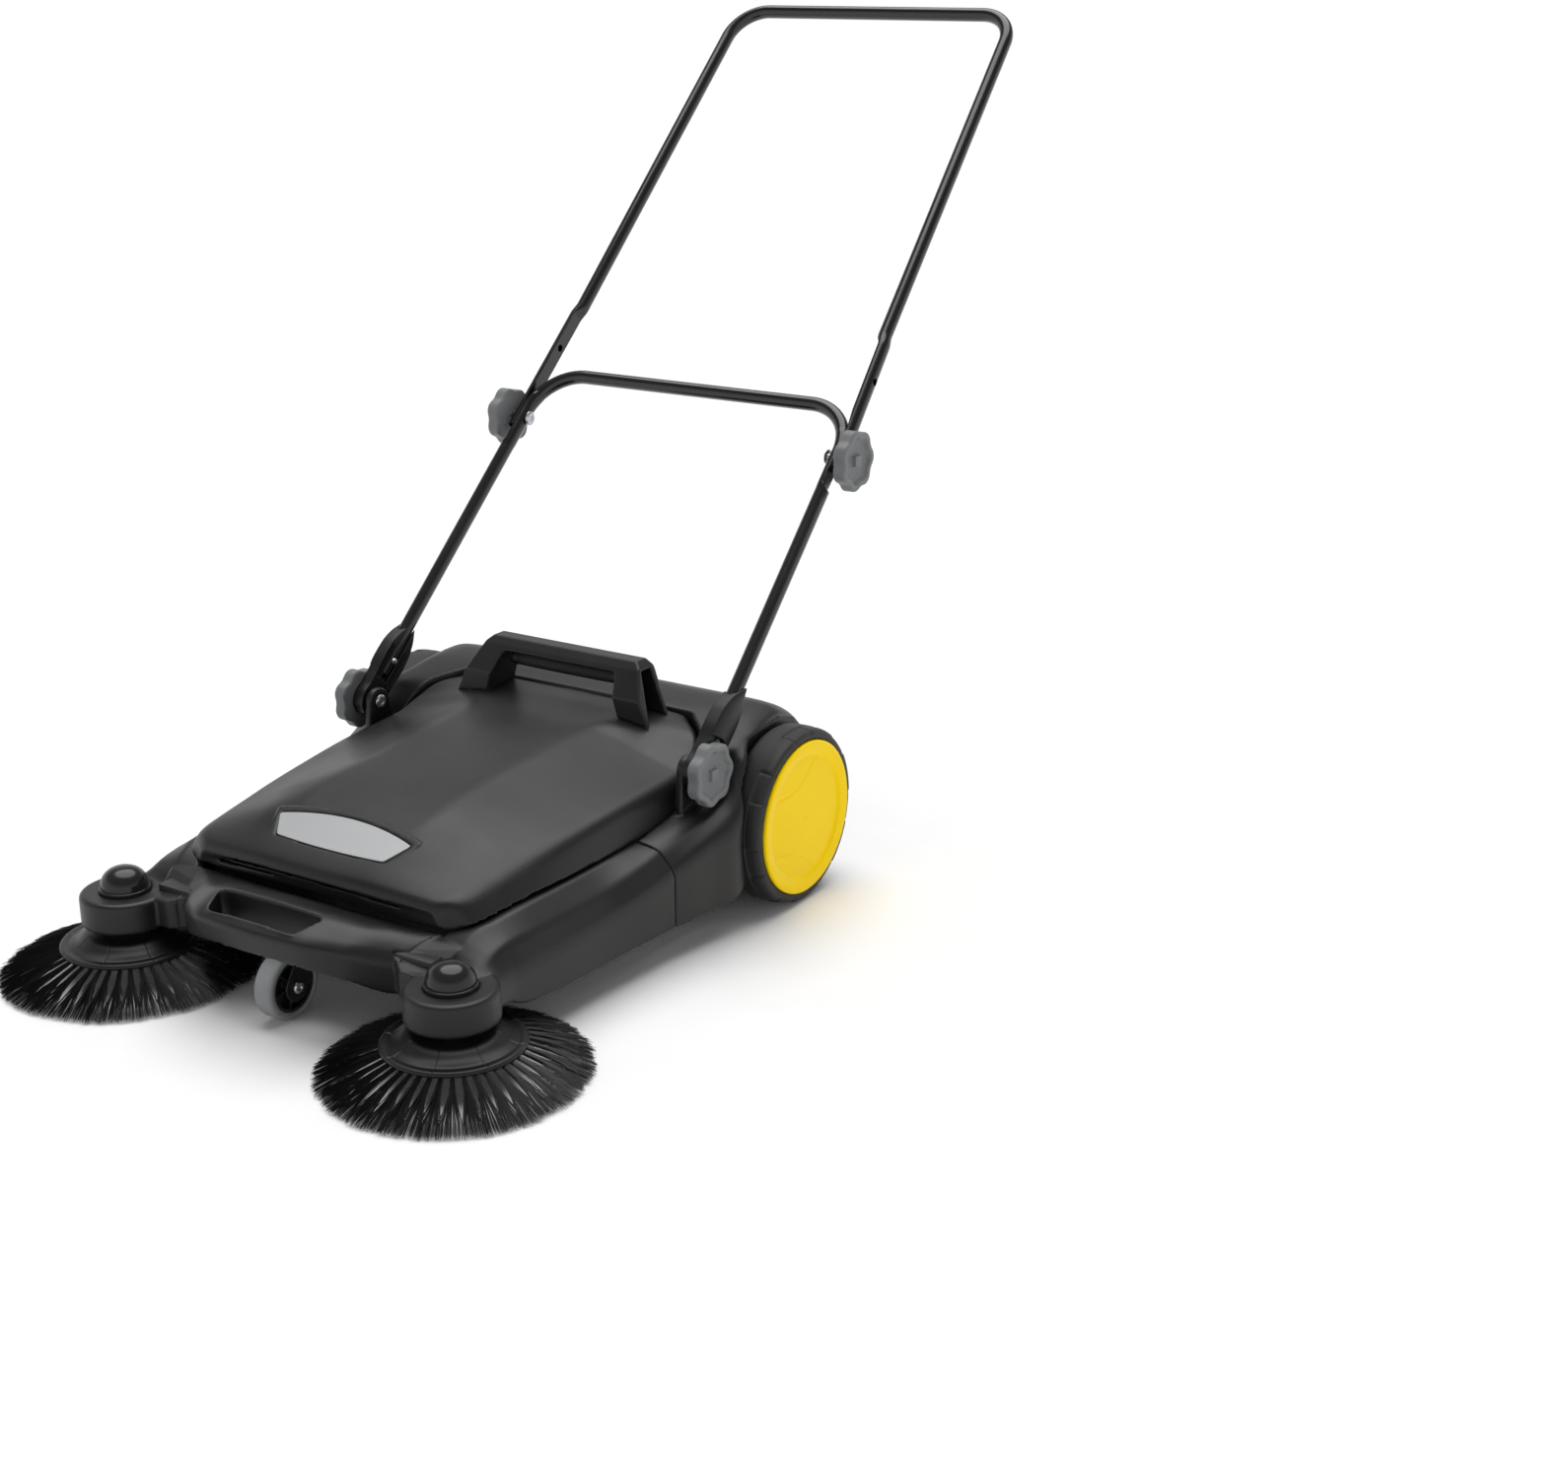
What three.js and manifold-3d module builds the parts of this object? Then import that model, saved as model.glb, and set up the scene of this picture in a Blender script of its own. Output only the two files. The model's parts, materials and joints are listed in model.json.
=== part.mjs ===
// A hand-pushed floor sweeper with two side brushes, a lift-out dirt container and a folding handle.
// Millimetres, +Z up, front at -Y, +X to the right. Inside the group "machine" the wheel axle line
// is at y = 0; the whole machine is then shifted so that its box is centred on the origin.
import * as THREE from "three";
import { mergeVertices } from "three/addons/utils/BufferGeometryUtils.js";
import Module from "manifold-3d";

const wasm = await Module();
wasm.setup();

// ---- driving dimensions -----------------------------------------------------------------------
const GAP = 0.4; // clearance between pieces that touch
const SHELL = 3.5; // wall of the moulded shells

const WHEEL = { radius: 96.6, inner: 235, outer: 277.3, rim: 84, facets: 28 };
const DISC_OUTER = 280.6;
const AXLE_RADIUS = 6;

const MODULE = 3;
const RING_TEETH = 40;
const PINION_TEETH = 10;
const PRESSURE_ANGLE = THREE.MathUtils.degToRad(20);
const BACKLASH = 0.55;
const GEAR_X = [236, 246];
const GEAR_CENTRES = (MODULE * (RING_TEETH - PINION_TEETH)) / 2;

const ROLLER_Y = -36.5;
const ROLLER_Z = WHEEL.radius - Math.sqrt(GEAR_CENTRES ** 2 - ROLLER_Y ** 2);
const ROLLER = { radius: ROLLER_Z - 0.3, core: 22, half: 200, shaft: 5, shaftHalf: 248, rows: 6 };

const BRUSH = { x: 210.5, y: -507, tip: 132.4, rim: 69, rimZ: 31, boss: 45, bossLow: 55, bossTop: 88 };
const DOME = { radius: 24, top: 111 };
const BELT = { radius: 2, rollerRadius: 14.4, spindleRadius: 16.4, x: 212.5 };

const CASTER = { radius: 34.4, half: 11, y: -504, swivelY: -482 };

const SEAM_Y = -205; // side seam between the front frame and the rear housing
const REAR_Y = 96;
const SIDE_PLATE = 232.5; // outer face of the end plates between the wheels

const PIVOT = { y: -125, z: 177, boltRadius: 4 };
const LOWER = { lean: 46.4, length: 462.6, footHalf: 226, topHalf: 214.6, bend: 60, joint: 396, foot: 34 };
const UPPER = { lean: 44.88, length: 636, footHalf: 214.9, topHalf: 194.6, bend: 45 };
// Below "high" the upper tube is pressed to a half-round on its inner side; at "end" it is round again.
const UPPER_PRESS = {
  tail: 14, flat: 36, low: 60, high: 148, end: 166, footX: 220.5, highX: 212.7, hole: 102,
};
// The lower tube is pressed on its outer side between these heights, where the upper tube lies on it.
const LOWER_PRESS = { end: 352, low: 360, high: 396 };
// Round the joint the two pressed faces are flat and parallel, so that one slides over the other.
const FACE_X = { lower: 217.8, upper: 218.1, deep: 2.4 };
const TUBE = { radius: 8, wall: 1.3 };
const PRESSED_HALF_WIDTH = 8.8;
const BRACKET_X = [216.5, 235.5];
const EAR_X = [206.5, 215.5];
const KNOB = { radius: 34, lobe: 2.6, lobes: 7, thick: 15, dish: 4, dishRadius: 20 };
const RIVET_Z = 52; // up the lower tube from its pivot
const KNOB_PIVOT_X = 231;
const KNOB_JOINT_X = 230;

// The machine reaches from the front brush tips to the back of the top handle bar.
const FRONT_END = BRUSH.y - BRUSH.tip;
const LOWER_LEAN = THREE.MathUtils.degToRad(LOWER.lean);
const UPPER_LEAN = THREE.MathUtils.degToRad(UPPER.lean);
const JOINT_Y = PIVOT.y + LOWER.joint * Math.sin(LOWER_LEAN);
const JOINT_Z = PIVOT.z + LOWER.joint * Math.cos(LOWER_LEAN);
const BACK_END = JOINT_Y + UPPER.length * Math.sin(UPPER_LEAN) + TUBE.radius;
const AXLE_Y = -(FRONT_END + BACK_END) / 2;

// ---- materials --------------------------------------------------------------------------------
function finish(color, roughness, metalness) {
  return new THREE.MeshStandardMaterial({ color, roughness, metalness });
}
const blackShell = finish(0x2b2b2c, 0.45, 0);
const blackPart = finish(0x1d1d1e, 0.5, 0);
const greyPlastic = finish(0x7d7f80, 0.5, 0);
const yellowPlastic = finish(0xf5cf00, 0.4, 0);
const rubber = finish(0x232324, 0.8, 0);
const greyRubber = finish(0x8b8d8e, 0.7, 0);
const bristle = finish(0x111112, 0.7, 0);
const tubePaint = finish(0x161617, 0.25, 0.2);
const steel = finish(0xb9bcc0, 0.3, 1);
const silverPlate = finish(0xb4b6b8, 0.35, 0.8);

// ---- shaping helpers --------------------------------------------------------------------------
function v(x, y, z) {
  return new THREE.Vector3(x, y, z);
}

function toSolid(geometry) {
  const loose = geometry.index ? geometry.toNonIndexed() : geometry;
  const bare = new THREE.BufferGeometry().setAttribute("position", loose.getAttribute("position"));
  const merged = mergeVertices(bare, 1e-3);
  const index = merged.index.array;
  const kept = [];
  for (let i = 0; i < index.length; i += 3) {
    const [a, b, c] = [index[i], index[i + 1], index[i + 2]];
    if (a !== b && b !== c && a !== c) kept.push(a, b, c);
  }
  return new wasm.Manifold(
    new wasm.Mesh({
      numProp: 3,
      vertProperties: merged.attributes.position.array,
      triVerts: new Uint32Array(kept),
    }),
  );
}

function toGeometry(solid) {
  const mesh = solid.getMesh();
  const geometry = new THREE.BufferGeometry();
  geometry.setAttribute("position", new THREE.BufferAttribute(mesh.vertProperties, mesh.numProp));
  geometry.setIndex(new THREE.BufferAttribute(mesh.triVerts, 1));
  return geometry;
}

function unite(...solids) {
  return solids.reduce((sum, next) => sum.add(next));
}

function cut(solid, ...tools) {
  return tools.reduce((rest, tool) => rest.subtract(tool), solid);
}

// A closed body through rings of equal point count. Ends are capped unless the row closes on itself.
function loft(rings, closed = false) {
  const count = rings[0].length;
  const points = rings.flat();
  const faces = [];
  const spans = closed ? rings.length : rings.length - 1;
  for (let r = 0; r < spans; r++) {
    const here = r * count;
    const next = ((r + 1) % rings.length) * count;
    for (let i = 0; i < count; i++) {
      const j = (i + 1) % count;
      faces.push([here + i, here + j, next + j], [here + i, next + j, next + i]);
    }
  }
  if (!closed) {
    const last = (rings.length - 1) * count;
    capFaces(rings[0]).forEach(([a, b, c]) => faces.push([c, b, a]));
    capFaces(rings[rings.length - 1]).forEach((f) => faces.push(f.map((i) => i + last)));
  }
  const volume = faces.reduce((sum, [a, b, c]) => sum + signedVolume(points[a], points[b], points[c]), 0);
  const index = faces.flatMap(([a, b, c]) => (volume > 0 ? [a, b, c] : [a, c, b]));
  const geometry = new THREE.BufferGeometry().setFromPoints(points);
  geometry.setIndex(index);
  return toSolid(geometry);
}

function signedVolume(a, b, c) {
  return a.dot(b.clone().cross(c));
}

// Triangles of a flat ring, wound as the side faces of loft() expect.
function capFaces(ring) {
  const normal = v(0, 0, 0);
  ring.forEach((p, i) => normal.add(p.clone().cross(ring[(i + 1) % ring.length])));
  normal.normalize();
  const across = Math.abs(normal.z) < 0.9 ? v(0, 0, 1).cross(normal).normalize() : v(1, 0, 0);
  const up = normal.clone().cross(across);
  const flat = ring.map((p) => new THREE.Vector2(p.dot(across), p.dot(up)));
  return THREE.ShapeUtils.triangulateShape(flat, []);
}

function shapeOf(outline) {
  return new THREE.Shape(outline.map(([a, b]) => new THREE.Vector2(a, b)));
}

// An outline in (y, z), from x0 to x1.
function alongX(outline, x0, x1, holes = []) {
  const shape = shapeOf(outline);
  holes.forEach((hole) => shape.holes.push(shapeOf(hole)));
  const geometry = new THREE.ExtrudeGeometry(shape, { depth: x1 - x0, bevelEnabled: false });
  const turn = new THREE.Matrix4().makeBasis(v(0, 1, 0), v(0, 0, 1), v(1, 0, 0));
  return toSolid(geometry.applyMatrix4(turn).translate(x0, 0, 0));
}

// An outline in (x, y), from z0 to z1.
function alongZ(outline, z0, z1) {
  const geometry = new THREE.ExtrudeGeometry(shapeOf(outline), { depth: z1 - z0, bevelEnabled: false });
  return toSolid(geometry.translate(0, 0, z0));
}

function box(x, y, z) {
  const geometry = new THREE.BoxGeometry(x[1] - x[0], y[1] - y[0], z[1] - z[0]);
  return toSolid(geometry.translate((x[0] + x[1]) / 2, (y[0] + y[1]) / 2, (z[0] + z[1]) / 2));
}

// A profile of (radius, height) pairs turned about Y. It starts on the axis or closes on itself.
function turned(profile, segments) {
  const closed = profile[0][0] > 0 ? [...profile, profile[0]] : profile;
  return new THREE.LatheGeometry(closed.map(([r, h]) => new THREE.Vector2(r, h)), segments);
}

// A turned piece about Z from (radius, z) pairs, standing at x, y.
function turnedZ(profile, x, y, segments) {
  const geometry = turned(profile, segments);
  const solid = toSolid(geometry.rotateX(Math.PI / 2).translate(x, y, 0));
  return solid.volume() < 0 ? toSolid(reversed(geometry)) : solid;
}

// A turned piece about X from (radius, x) pairs, with a flat of the polygon at the bottom.
function turnedX(profile, y, z, segments) {
  const geometry = turned(profile, segments);
  geometry.rotateY(Math.PI / segments);
  geometry.rotateZ(-Math.PI / 2).translate(0, y, z);
  const solid = toSolid(geometry);
  return solid.volume() < 0 ? toSolid(reversed(geometry)) : solid;
}

function reversed(geometry) {
  const index = geometry.index.array;
  for (let i = 0; i < index.length; i += 3) [index[i + 1], index[i + 2]] = [index[i + 2], index[i + 1]];
  return geometry;
}

function rodX(radius, x0, x1, y, z, segments = 20) {
  return turnedX([[0, x0], [radius, x0], [radius, x1], [0, x1]], y, z, segments);
}

function rodZ(radius, z0, z1, x, y, segments = 20) {
  return turnedZ([[0, z0], [radius, z0], [radius, z1], [0, z1]], x, y, segments);
}

function arc(cy, cz, radius, from, to, steps) {
  return Array.from({ length: steps + 1 }, (_, i) => {
    const angle = THREE.MathUtils.degToRad(from + ((to - from) * i) / steps);
    return [cy + radius * Math.cos(angle), cz + radius * Math.sin(angle)];
  });
}

// A symmetric ring at one y from a half profile of (x, z) pairs, centre first and foot last.
function archRing(y, half) {
  const right = half.map(([x, z]) => v(x, y, z));
  const left = half.slice(1).map(([x, z]) => v(-x, y, z));
  return [...right, ...left.reverse()];
}

// ---- assembly ---------------------------------------------------------------------------------
const sweeper = new THREE.Group();
const machine = new THREE.Group();
machine.position.y = AXLE_Y;
sweeper.add(machine);

const rightSide = new THREE.Group();
const leftSide = new THREE.Group();
leftSide.scale.x = -1;
machine.add(rightSide, leftSide);

function place(name, solid, material, parent = machine) {
  const mesh = new THREE.Mesh(toGeometry(solid), material);
  mesh.name = name;
  parent.add(mesh);
}

// A piece made for the right side, and its mirror image on the left.
function placePair(name, solid, material, right = rightSide, left = leftSide) {
  place(name + "_right", solid, material, right);
  place(name + "_left", solid, material, left);
}

// ---- container: cover, tray, carry handle, badge -------------------------------------------------
// Half profiles of the bonnet: centre, panel edge above, panel edge below, ridge, lip.
const COVER_STATIONS = [
  [-452, [[0, 136], [70, 136], [92, 135.5], [156, 133], [162, 109]]],
  [-443, [[0, 143], [70, 143], [94, 142], [165, 136], [181, 115]]],
  [-430, [[0, 151], [72, 151], [98, 148.5], [171, 138.5], [187, 118]]],
  [-400, [[0, 166], [76, 165.5], [104, 161], [176, 141.5], [192, 120.5]]],
  [-365, [[0, 177], [80, 176.5], [106, 169.5], [180, 145], [196, 122]]],
  [-330, [[0, 183], [78, 182.5], [93, 179], [184, 149], [199, 122.5]]],
  [-270, [[0, 187.5], [78, 187], [93, 183], [189.5, 155.5], [200, 122.5]]],
  [-200, [[0, 191.5], [78, 191], [93.5, 187], [194, 160.5], [201, 123.5]]],
  [-115, [[0, 196], [80, 195.5], [95, 192], [195.5, 164.5], [201.5, 125.5]]],
  [-85, [[0, 197.5], [90, 197], [112, 194], [192, 176], [196, 130]]],
  [-60, [[0, 199], [100, 198.5], [124, 196], [180, 189], [183, 143]]],
  [-31, [[0, 200.5], [110, 200], [130, 198.5], [148, 196], [151, 152]]],
];

function coverBody(inset, rise, drop) {
  const rings = COVER_STATIONS.map(([y, half], i) => {
    const ends = i === 0 ? inset : i === COVER_STATIONS.length - 1 ? -inset : 0;
    const shifted = half.map(([x, z]) => [Math.max(x - inset, 0), z - inset + rise]);
    const foot = shifted[shifted.length - 1];
    const low = [foot[0], foot[1] + inset - rise - drop];
    return archRing(y + ends, [...shifted.slice(0, -1), low]);
  });
  return loft(rings);
}

const TRAY = { half: 178, floorHalf: 170, front: -438, rear: -118, floor: 42, rim: 116, wall: 2.5 };

function traySide(inset) {
  const floor = TRAY.floor + inset;
  const top = inset ? TRAY.rim + 20 : TRAY.rim;
  return [
    [TRAY.front + inset, top],
    [-426 + inset, 76],
    [-405 + inset, floor],
    [TRAY.rear - inset, floor],
    [TRAY.rear - inset, top],
  ];
}

function trayBody(inset) {
  const rings = [-1, 1].flatMap((side) => {
    const half = TRAY.half - inset;
    const lean = TRAY.half - TRAY.floorHalf;
    return [traySide(inset).map(([y, z]) => {
      const share = THREE.MathUtils.clamp((TRAY.rim - z) / (TRAY.rim - TRAY.floor), 0, 1);
      return v(side * (half - lean * share), y, z);
    })];
  });
  return loft(rings);
}

function containerTray() {
  const mouthHalf = TRAY.half - 12;
  const mouth = box([-mouthHalf, mouthHalf], [TRAY.rear - 10, TRAY.rear + 5], [62, TRAY.rim + 5]);
  return cut(trayBody(0), trayBody(TRAY.wall), mouth);
}

const CARRY = { footHalf: 134, topHalf: 101, top: 255, leg: 42, bar: 12, outerY: [-82, -42] };

function carryHandle() {
  const { footHalf, topHalf, top } = CARRY;
  const foot = 186;
  const arch = [
    [-footHalf, foot], [-topHalf - 3, top - 6], [-topHalf + 4, top], [topHalf - 4, top],
    [topHalf + 3, top - 6], [footHalf, foot], [footHalf - CARRY.leg, foot],
    [topHalf - 24, top - CARRY.bar - 4], [topHalf - 28, top - CARRY.bar],
    [28 - topHalf, top - CARRY.bar], [24 - topHalf, top - CARRY.bar - 4],
    [CARRY.leg - footHalf, foot],
  ];
  const geometry = new THREE.ExtrudeGeometry(shapeOf(arch), { depth: 60, bevelEnabled: false });
  const slab = toSolid(geometry.rotateX(Math.PI / 2).translate(0, -20, 0));
  const [y0, y1] = CARRY.outerY;
  const side = [[-104, foot], [-61, 247], [-52, top + 1], [-36, top + 1], [-31, 245], [-31, foot]];
  const taper = alongX(side, -footHalf - 1, footHalf + 1);
  // The legs are widest on their inner side: these wedges slope their front and rear faces.
  const wedges = [1, -1].flatMap((hand) => [
    alongZ([[hand * 102, -103], [hand * 142, y0 + 4], [hand * 142, -112]], foot - 1, top),
    alongZ([[hand * 98, -29], [hand * 142, y1 - 2], [hand * 142, -20]], foot - 1, top),
  ]);
  const legRoom = [1, -1].map((hand) => {
    const hollow = (z, front, rear, inner) => [
      v(hand * inner, front, z), v(hand * (footHalf + 20), front, z),
      v(hand * (footHalf + 20), rear, z), v(hand * inner, rear, z),
    ];
    return loft([
      hollow(foot - 2, y0 + 1, y1 - 3, footHalf - CARRY.leg + 3.4),
      hollow(top - 9, -56, -39, topHalf - 20),
    ]);
  });
  return cut(slab.intersect(taper), ...wedges, ...legRoom, coverBody(0, GAP, 60));
}

// The badge is wider along its top edge: each edge has its half width, its end height and its middle height.
const BADGE = { upper: [85, 5.5, 19], lower: [69, -20.4, -23], thick: 1.8, y: -415, z: 159.8, slope: 26.6 };

function badgePlate() {
  const steps = 8;
  const edge = ([half, end, middle], direction) => Array.from({ length: steps + 1 }, (_, i) => {
    const t = direction * ((i / steps) * 2 - 1);
    return [half * t, middle + (end - middle) * t * t];
  });
  return alongZ([...edge(BADGE.lower, 1), ...edge(BADGE.upper, -1)], 0, BADGE.thick);
}

function buildContainer() {
  const shell = cut(coverBody(0, 0, 0), coverBody(SHELL - 0.5, 0, 40));
  place("container_cover", shell, blackShell);
  place("container_tray", containerTray(), blackPart);
  place("carry_handle", carryHandle(), blackShell);
  place("grip_bar", rodX(8.5, -74, 74, -47, 231.5, 18), blackPart);
  const seat = new THREE.Group();
  seat.position.set(0, BADGE.y, BADGE.z);
  seat.rotation.x = THREE.MathUtils.degToRad(BADGE.slope);
  machine.add(seat);
  place("badge_plate", badgePlate(), silverPlate, seat);
}

// ---- chassis: front frame, bumper, rear housing ----------------------------------------------------
// Side channel of the front frame, front to back: y, inner x, ledge z, lip, upper crease, lower crease,
// outer wall x, bottom z.
const CHANNEL_STATIONS = [
  [-500, 172, 87, [190, 88], [214, 88], [244, 84], 249, 56],
  [-481, 160, 87, [188, 88], [213, 88], [238, 82], 242, 56],
  [-458, 158, 104, [187, 106], [214, 98], [233, 81], 236, 54],
  [-442, 182, 111, [190, 114], [217, 101.5], [231, 80.5], 233, 46],
  [-380, 182, 117.5, [201, 121], [223, 102], [235, 82.5], 237, 39],
  [-300, 182, 117.5, [203, 121.5], [226, 103], [239.5, 86], 241, 38],
  [SEAM_Y, 182, 117.5, [204, 124], [229, 119], [246.5, 101], 249, 38],
];

function channelRing(station, inset) {
  const [y, inner, ledge, lip, high, low, wall, bottom] = station;
  const floor = inset ? bottom - 20 : bottom;
  return [
    v(inner + inset, y, ledge - inset), v(lip[0] - inset * 0.4, y, ledge - inset),
    v(lip[0], y, lip[1] - inset), v(high[0] - inset * 0.4, y, high[1] - inset),
    v(low[0] - inset, y, low[1] - inset * 0.4), v(wall - inset, y, low[1] - 7),
    v(wall - inset, y, floor), v(inner + inset, y, floor),
  ];
}

function channelBody(inset) {
  const rings = CHANNEL_STATIONS.map((station) => channelRing(station, inset));
  if (inset) rings[rings.length - 1].forEach((p) => (p.y = SEAM_Y + 5));
  return loft(rings);
}

const BEAM = { y: [-494, -457], z: [75.5, 95], half: 176, gusset: 105, gussetLow: 48 };

function mirrorOf(solid) {
  const geometry = toGeometry(solid);
  geometry.scale(-1, 1, 1);
  return toSolid(reversed(geometry));
}

function frontFrame() {
  const { x, y, boss, bossLow, bossTop } = BRUSH;
  const bossProfile = [
    [0, bossLow], [boss - 1, bossLow], [boss, bossLow + 2],
    [boss, bossTop - 8], [boss - 6, bossTop], [0, bossTop],
  ];
  const bossBody = turnedZ(bossProfile, x, y, 24);
  const room = rodZ(boss - 4, bossLow - 20, bossTop - 5, x, y, 18);
  const bore = rodZ(AXLE_RADIUS, bossTop - 10, bossTop + 10, x, y, 16);
  const arm = cut(unite(channelBody(0), bossBody), channelBody(SHELL), room, bore);
  const beam = box([-BEAM.half, BEAM.half], BEAM.y, BEAM.z);
  const gussets = [1, -1].map((hand) => {
    const span = [hand * BEAM.gusset, hand * BEAM.half].sort((a, b) => a - b);
    return box(span, BEAM.y, [BEAM.gussetLow + 8, BEAM.z[1] - 1]);
  });
  const stemBore = rodZ(5.4, 60, 110, 0, CASTER.swivelY, 16);
  const hollows = [channelBody(SHELL), room].flatMap((solid) => [solid, mirrorOf(solid)]);
  const cross = cut(unite(beam, ...gussets), stemBore, ...hollows);
  return unite(arm, mirrorOf(arm), cross);
}

// Bumper sections across the machine: rear top, crown, finger hole edges, nose crease, chin.
const BUMPER_STATIONS = [
  [0, [
    [-454, 103.5], [-488, 118], [-514, 125.5], [-546, 117],
    [-557, 110], [-554, 84], [-500, 84], [-454, 84],
  ]],
  [60, [
    [-454, 103.5], [-488, 117.5], [-513, 124], [-543, 115.5],
    [-552.5, 108.5], [-549, 81], [-500, 81], [-454, 81],
  ]],
  [100, [
    [-454, 104.5], [-482, 112], [-503, 114], [-523, 106.5],
    [-531.5, 100], [-528, 69], [-495, 69], [-454, 69],
  ]],
  [135, [
    [-454, 106], [-468, 105.5], [-479, 102.5], [-493, 95],
    [-500.5, 86], [-499, 54], [-484, 54], [-454, 54],
  ]],
  [149, [
    [-454, 106.5], [-462, 105], [-470, 102], [-478, 96],
    [-484, 88], [-483, 56], [-472, 56], [-454, 56],
  ]],
];

function bumperBody(inset) {
  const leftHalf = BUMPER_STATIONS.slice(1).map(([x, side]) => [-x, side]);
  const stations = [...leftHalf.reverse(), ...BUMPER_STATIONS];
  const rings = stations.map(([x, side]) => {
    const squeeze = inset ? x * (1 - inset / 149) : x;
    return side.map(([y, z], i) => {
      const front = i >= 3 && i <= 5 ? inset : 0;
      const floor = i >= 5 ? -inset * 8 : -inset;
      const back = i === 0 || i === 7 ? inset * 2 : 0;
      return v(squeeze, y + front + back, z + floor);
    });
  });
  return loft(rings);
}

function frontBumper() {
  const slot = [
    [-66, -517], [-60, -513], [60, -513], [66, -517],
    [56, -541], [50, -544], [-50, -544], [-56, -541],
  ];
  const beamRoom = box([-160, 160], [BEAM.y[0] - GAP, BEAM.y[1] + 5], [40, BEAM.z[1] + GAP]);
  const shell = cut(bumperBody(0), bumperBody(SHELL), alongZ(slot, 60, 140), beamRoom);
  return cut(shell, coverBody(-1, 1, 90));
}

// Rear housing sections: centre, hood edge, shoulder points, wall top, foot.
const HOUSING_STATIONS = [
  [SEAM_Y + GAP, [[0, 124], [150, 124], [203, 124], [229, 119], [246.5, 101], [249, 94], [249, 38]]],
  [-150, [[0, 130], [150, 130], [204, 132], [232, 135], [254, 118], [259, 108], [259, 38]]],
  [-115, [[0, 140], [150, 140], [205, 142], [236, 143], [258, 132], [266, 116], [266, 40]]],
  [-100, [[0, 152], [150, 152], [205, 154], [236, 152], [255, 145], [263, 134], [263, 46]]],
  [-88, [[0, 172], [150, 171], [202, 170], [232, 166], [250, 160], [256, 150], [256, 50]]],
  [-70, [[0, 190], [150, 188], [200, 186], [231, 186], [245, 181], [250, 172], [250, 50]]],
  [-40, [[0, 200], [150, 199], [200, 197], [225, 195], [237, 190], [240, 181], [240, 45]]],
  [-10, [[0, 206], [150, 206], [196, 205], [216, 203.5], [229, 197], [SIDE_PLATE, 188], [SIDE_PLATE, 36]]],
  [20, [[0, 208], [150, 208], [195, 208.5], [213, 206.5], [227, 200], [SIDE_PLATE, 190], [SIDE_PLATE, 34]]],
  [50, [[0, 199], [150, 199], [195, 199], [213, 197], [227, 190], [SIDE_PLATE, 180], [SIDE_PLATE, 34]]],
  [75, [[0, 179], [150, 179], [194, 178], [213, 174], [226, 167], [232, 155], [232, 34]]],
  [90, [[0, 153], [150, 153], [193, 151], [212, 147], [225, 140], [231, 128], [231, 34]]],
  [REAR_Y, [[0, 122], [150, 122], [192, 120], [211, 117], [223, 112], [229, 104], [229, 36]]],
];

function housingBody(inset) {
  const rings = HOUSING_STATIONS.map(([y, half], i) => {
    const first = i === 0 && inset ? -5 : 0;
    const last = i === HOUSING_STATIONS.length - 1 ? -inset : 0;
    const ring = half.map(([x, z]) => [Math.max(x - inset, 0), z - inset]);
    const foot = ring[ring.length - 1];
    return archRing(y + first + last, [...ring.slice(0, -1), [foot[0], inset ? foot[1] - 20 : foot[1]]]);
  });
  return loft(rings);
}

// The inside of the end plate is flat where the wheel well cuts into the flared cheek.
function endPlate() {
  const outline = [
    [-106, 42], [-105, 140], [-99, 146], [-72, 181], [-38, 192], [20, 198], [50, 188], [75, 164], [92, 120],
    [92, 36], [-60, 36],
  ];
  return alongX(outline, SIDE_PLATE - SHELL, SIDE_PLATE);
}

function pivotEar() {
  const outline = [...arc(PIVOT.y, PIVOT.z, 16, 0, 180, 8), [PIVOT.y - 20, 136], [PIVOT.y + 24, 146]];
  return alongX(outline, EAR_X[0], EAR_X[1]);
}

function bayCutter() {
  const margin = 1.2;
  const half = COVER_STATIONS.map(([y, profile]) => [profile[profile.length - 1][0] + margin, y]);
  half[half.length - 1][1] += margin;
  half[0][1] = SEAM_Y - 20;
  half[0][0] = half[5][0] + margin;
  const kept = half.filter(([, y]) => y >= SEAM_Y - 20);
  const outline = [...kept, ...kept.map(([x, y]) => [-x, y]).reverse()];
  return alongZ(outline, -10, 400);
}

function wheelCutters(x) {
  return [
    rodX(WHEEL.radius + 7, x, 330, 0, WHEEL.radius, 28),
    rodX(AXLE_RADIUS + GAP, 200, 260, 0, WHEEL.radius, 16),
    rodX(9 + GAP, 200, 260, ROLLER_Y, ROLLER_Z, 16),
    rodX(PIVOT.boltRadius + GAP, 190, 230, PIVOT.y, PIVOT.z, 12),
  ];
}

function rearHousing() {
  const tools = wheelCutters(SIDE_PLATE);
  const extras = unite(endPlate(), pivotEar());
  const shell = cut(housingBody(0), housingBody(SHELL));
  const opened = cut(shell, bayCutter());
  return cut(unite(opened, extras, mirrorOf(extras)), ...tools, ...tools.map(mirrorOf));
}

function buildChassis() {
  place("front_frame", frontFrame(), blackShell);
  place("front_bumper", frontBumper(), blackShell);
  place("rear_housing", rearHousing(), blackShell);
  place("dust_flap", box([-224, 224], [87.5, 91], [3, 70]), rubber);
  placePair("dome_cap", domeCap(), blackPart);
  placePair("stub_axle", stubAxle(), steel);
  placePair("roller_bush", rollerBush(), greyPlastic);
  placePair("brush_belt", brushBelt(), rubber);
  placePair("pivot_bolt", pivotBolt(), steel);
}

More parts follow.
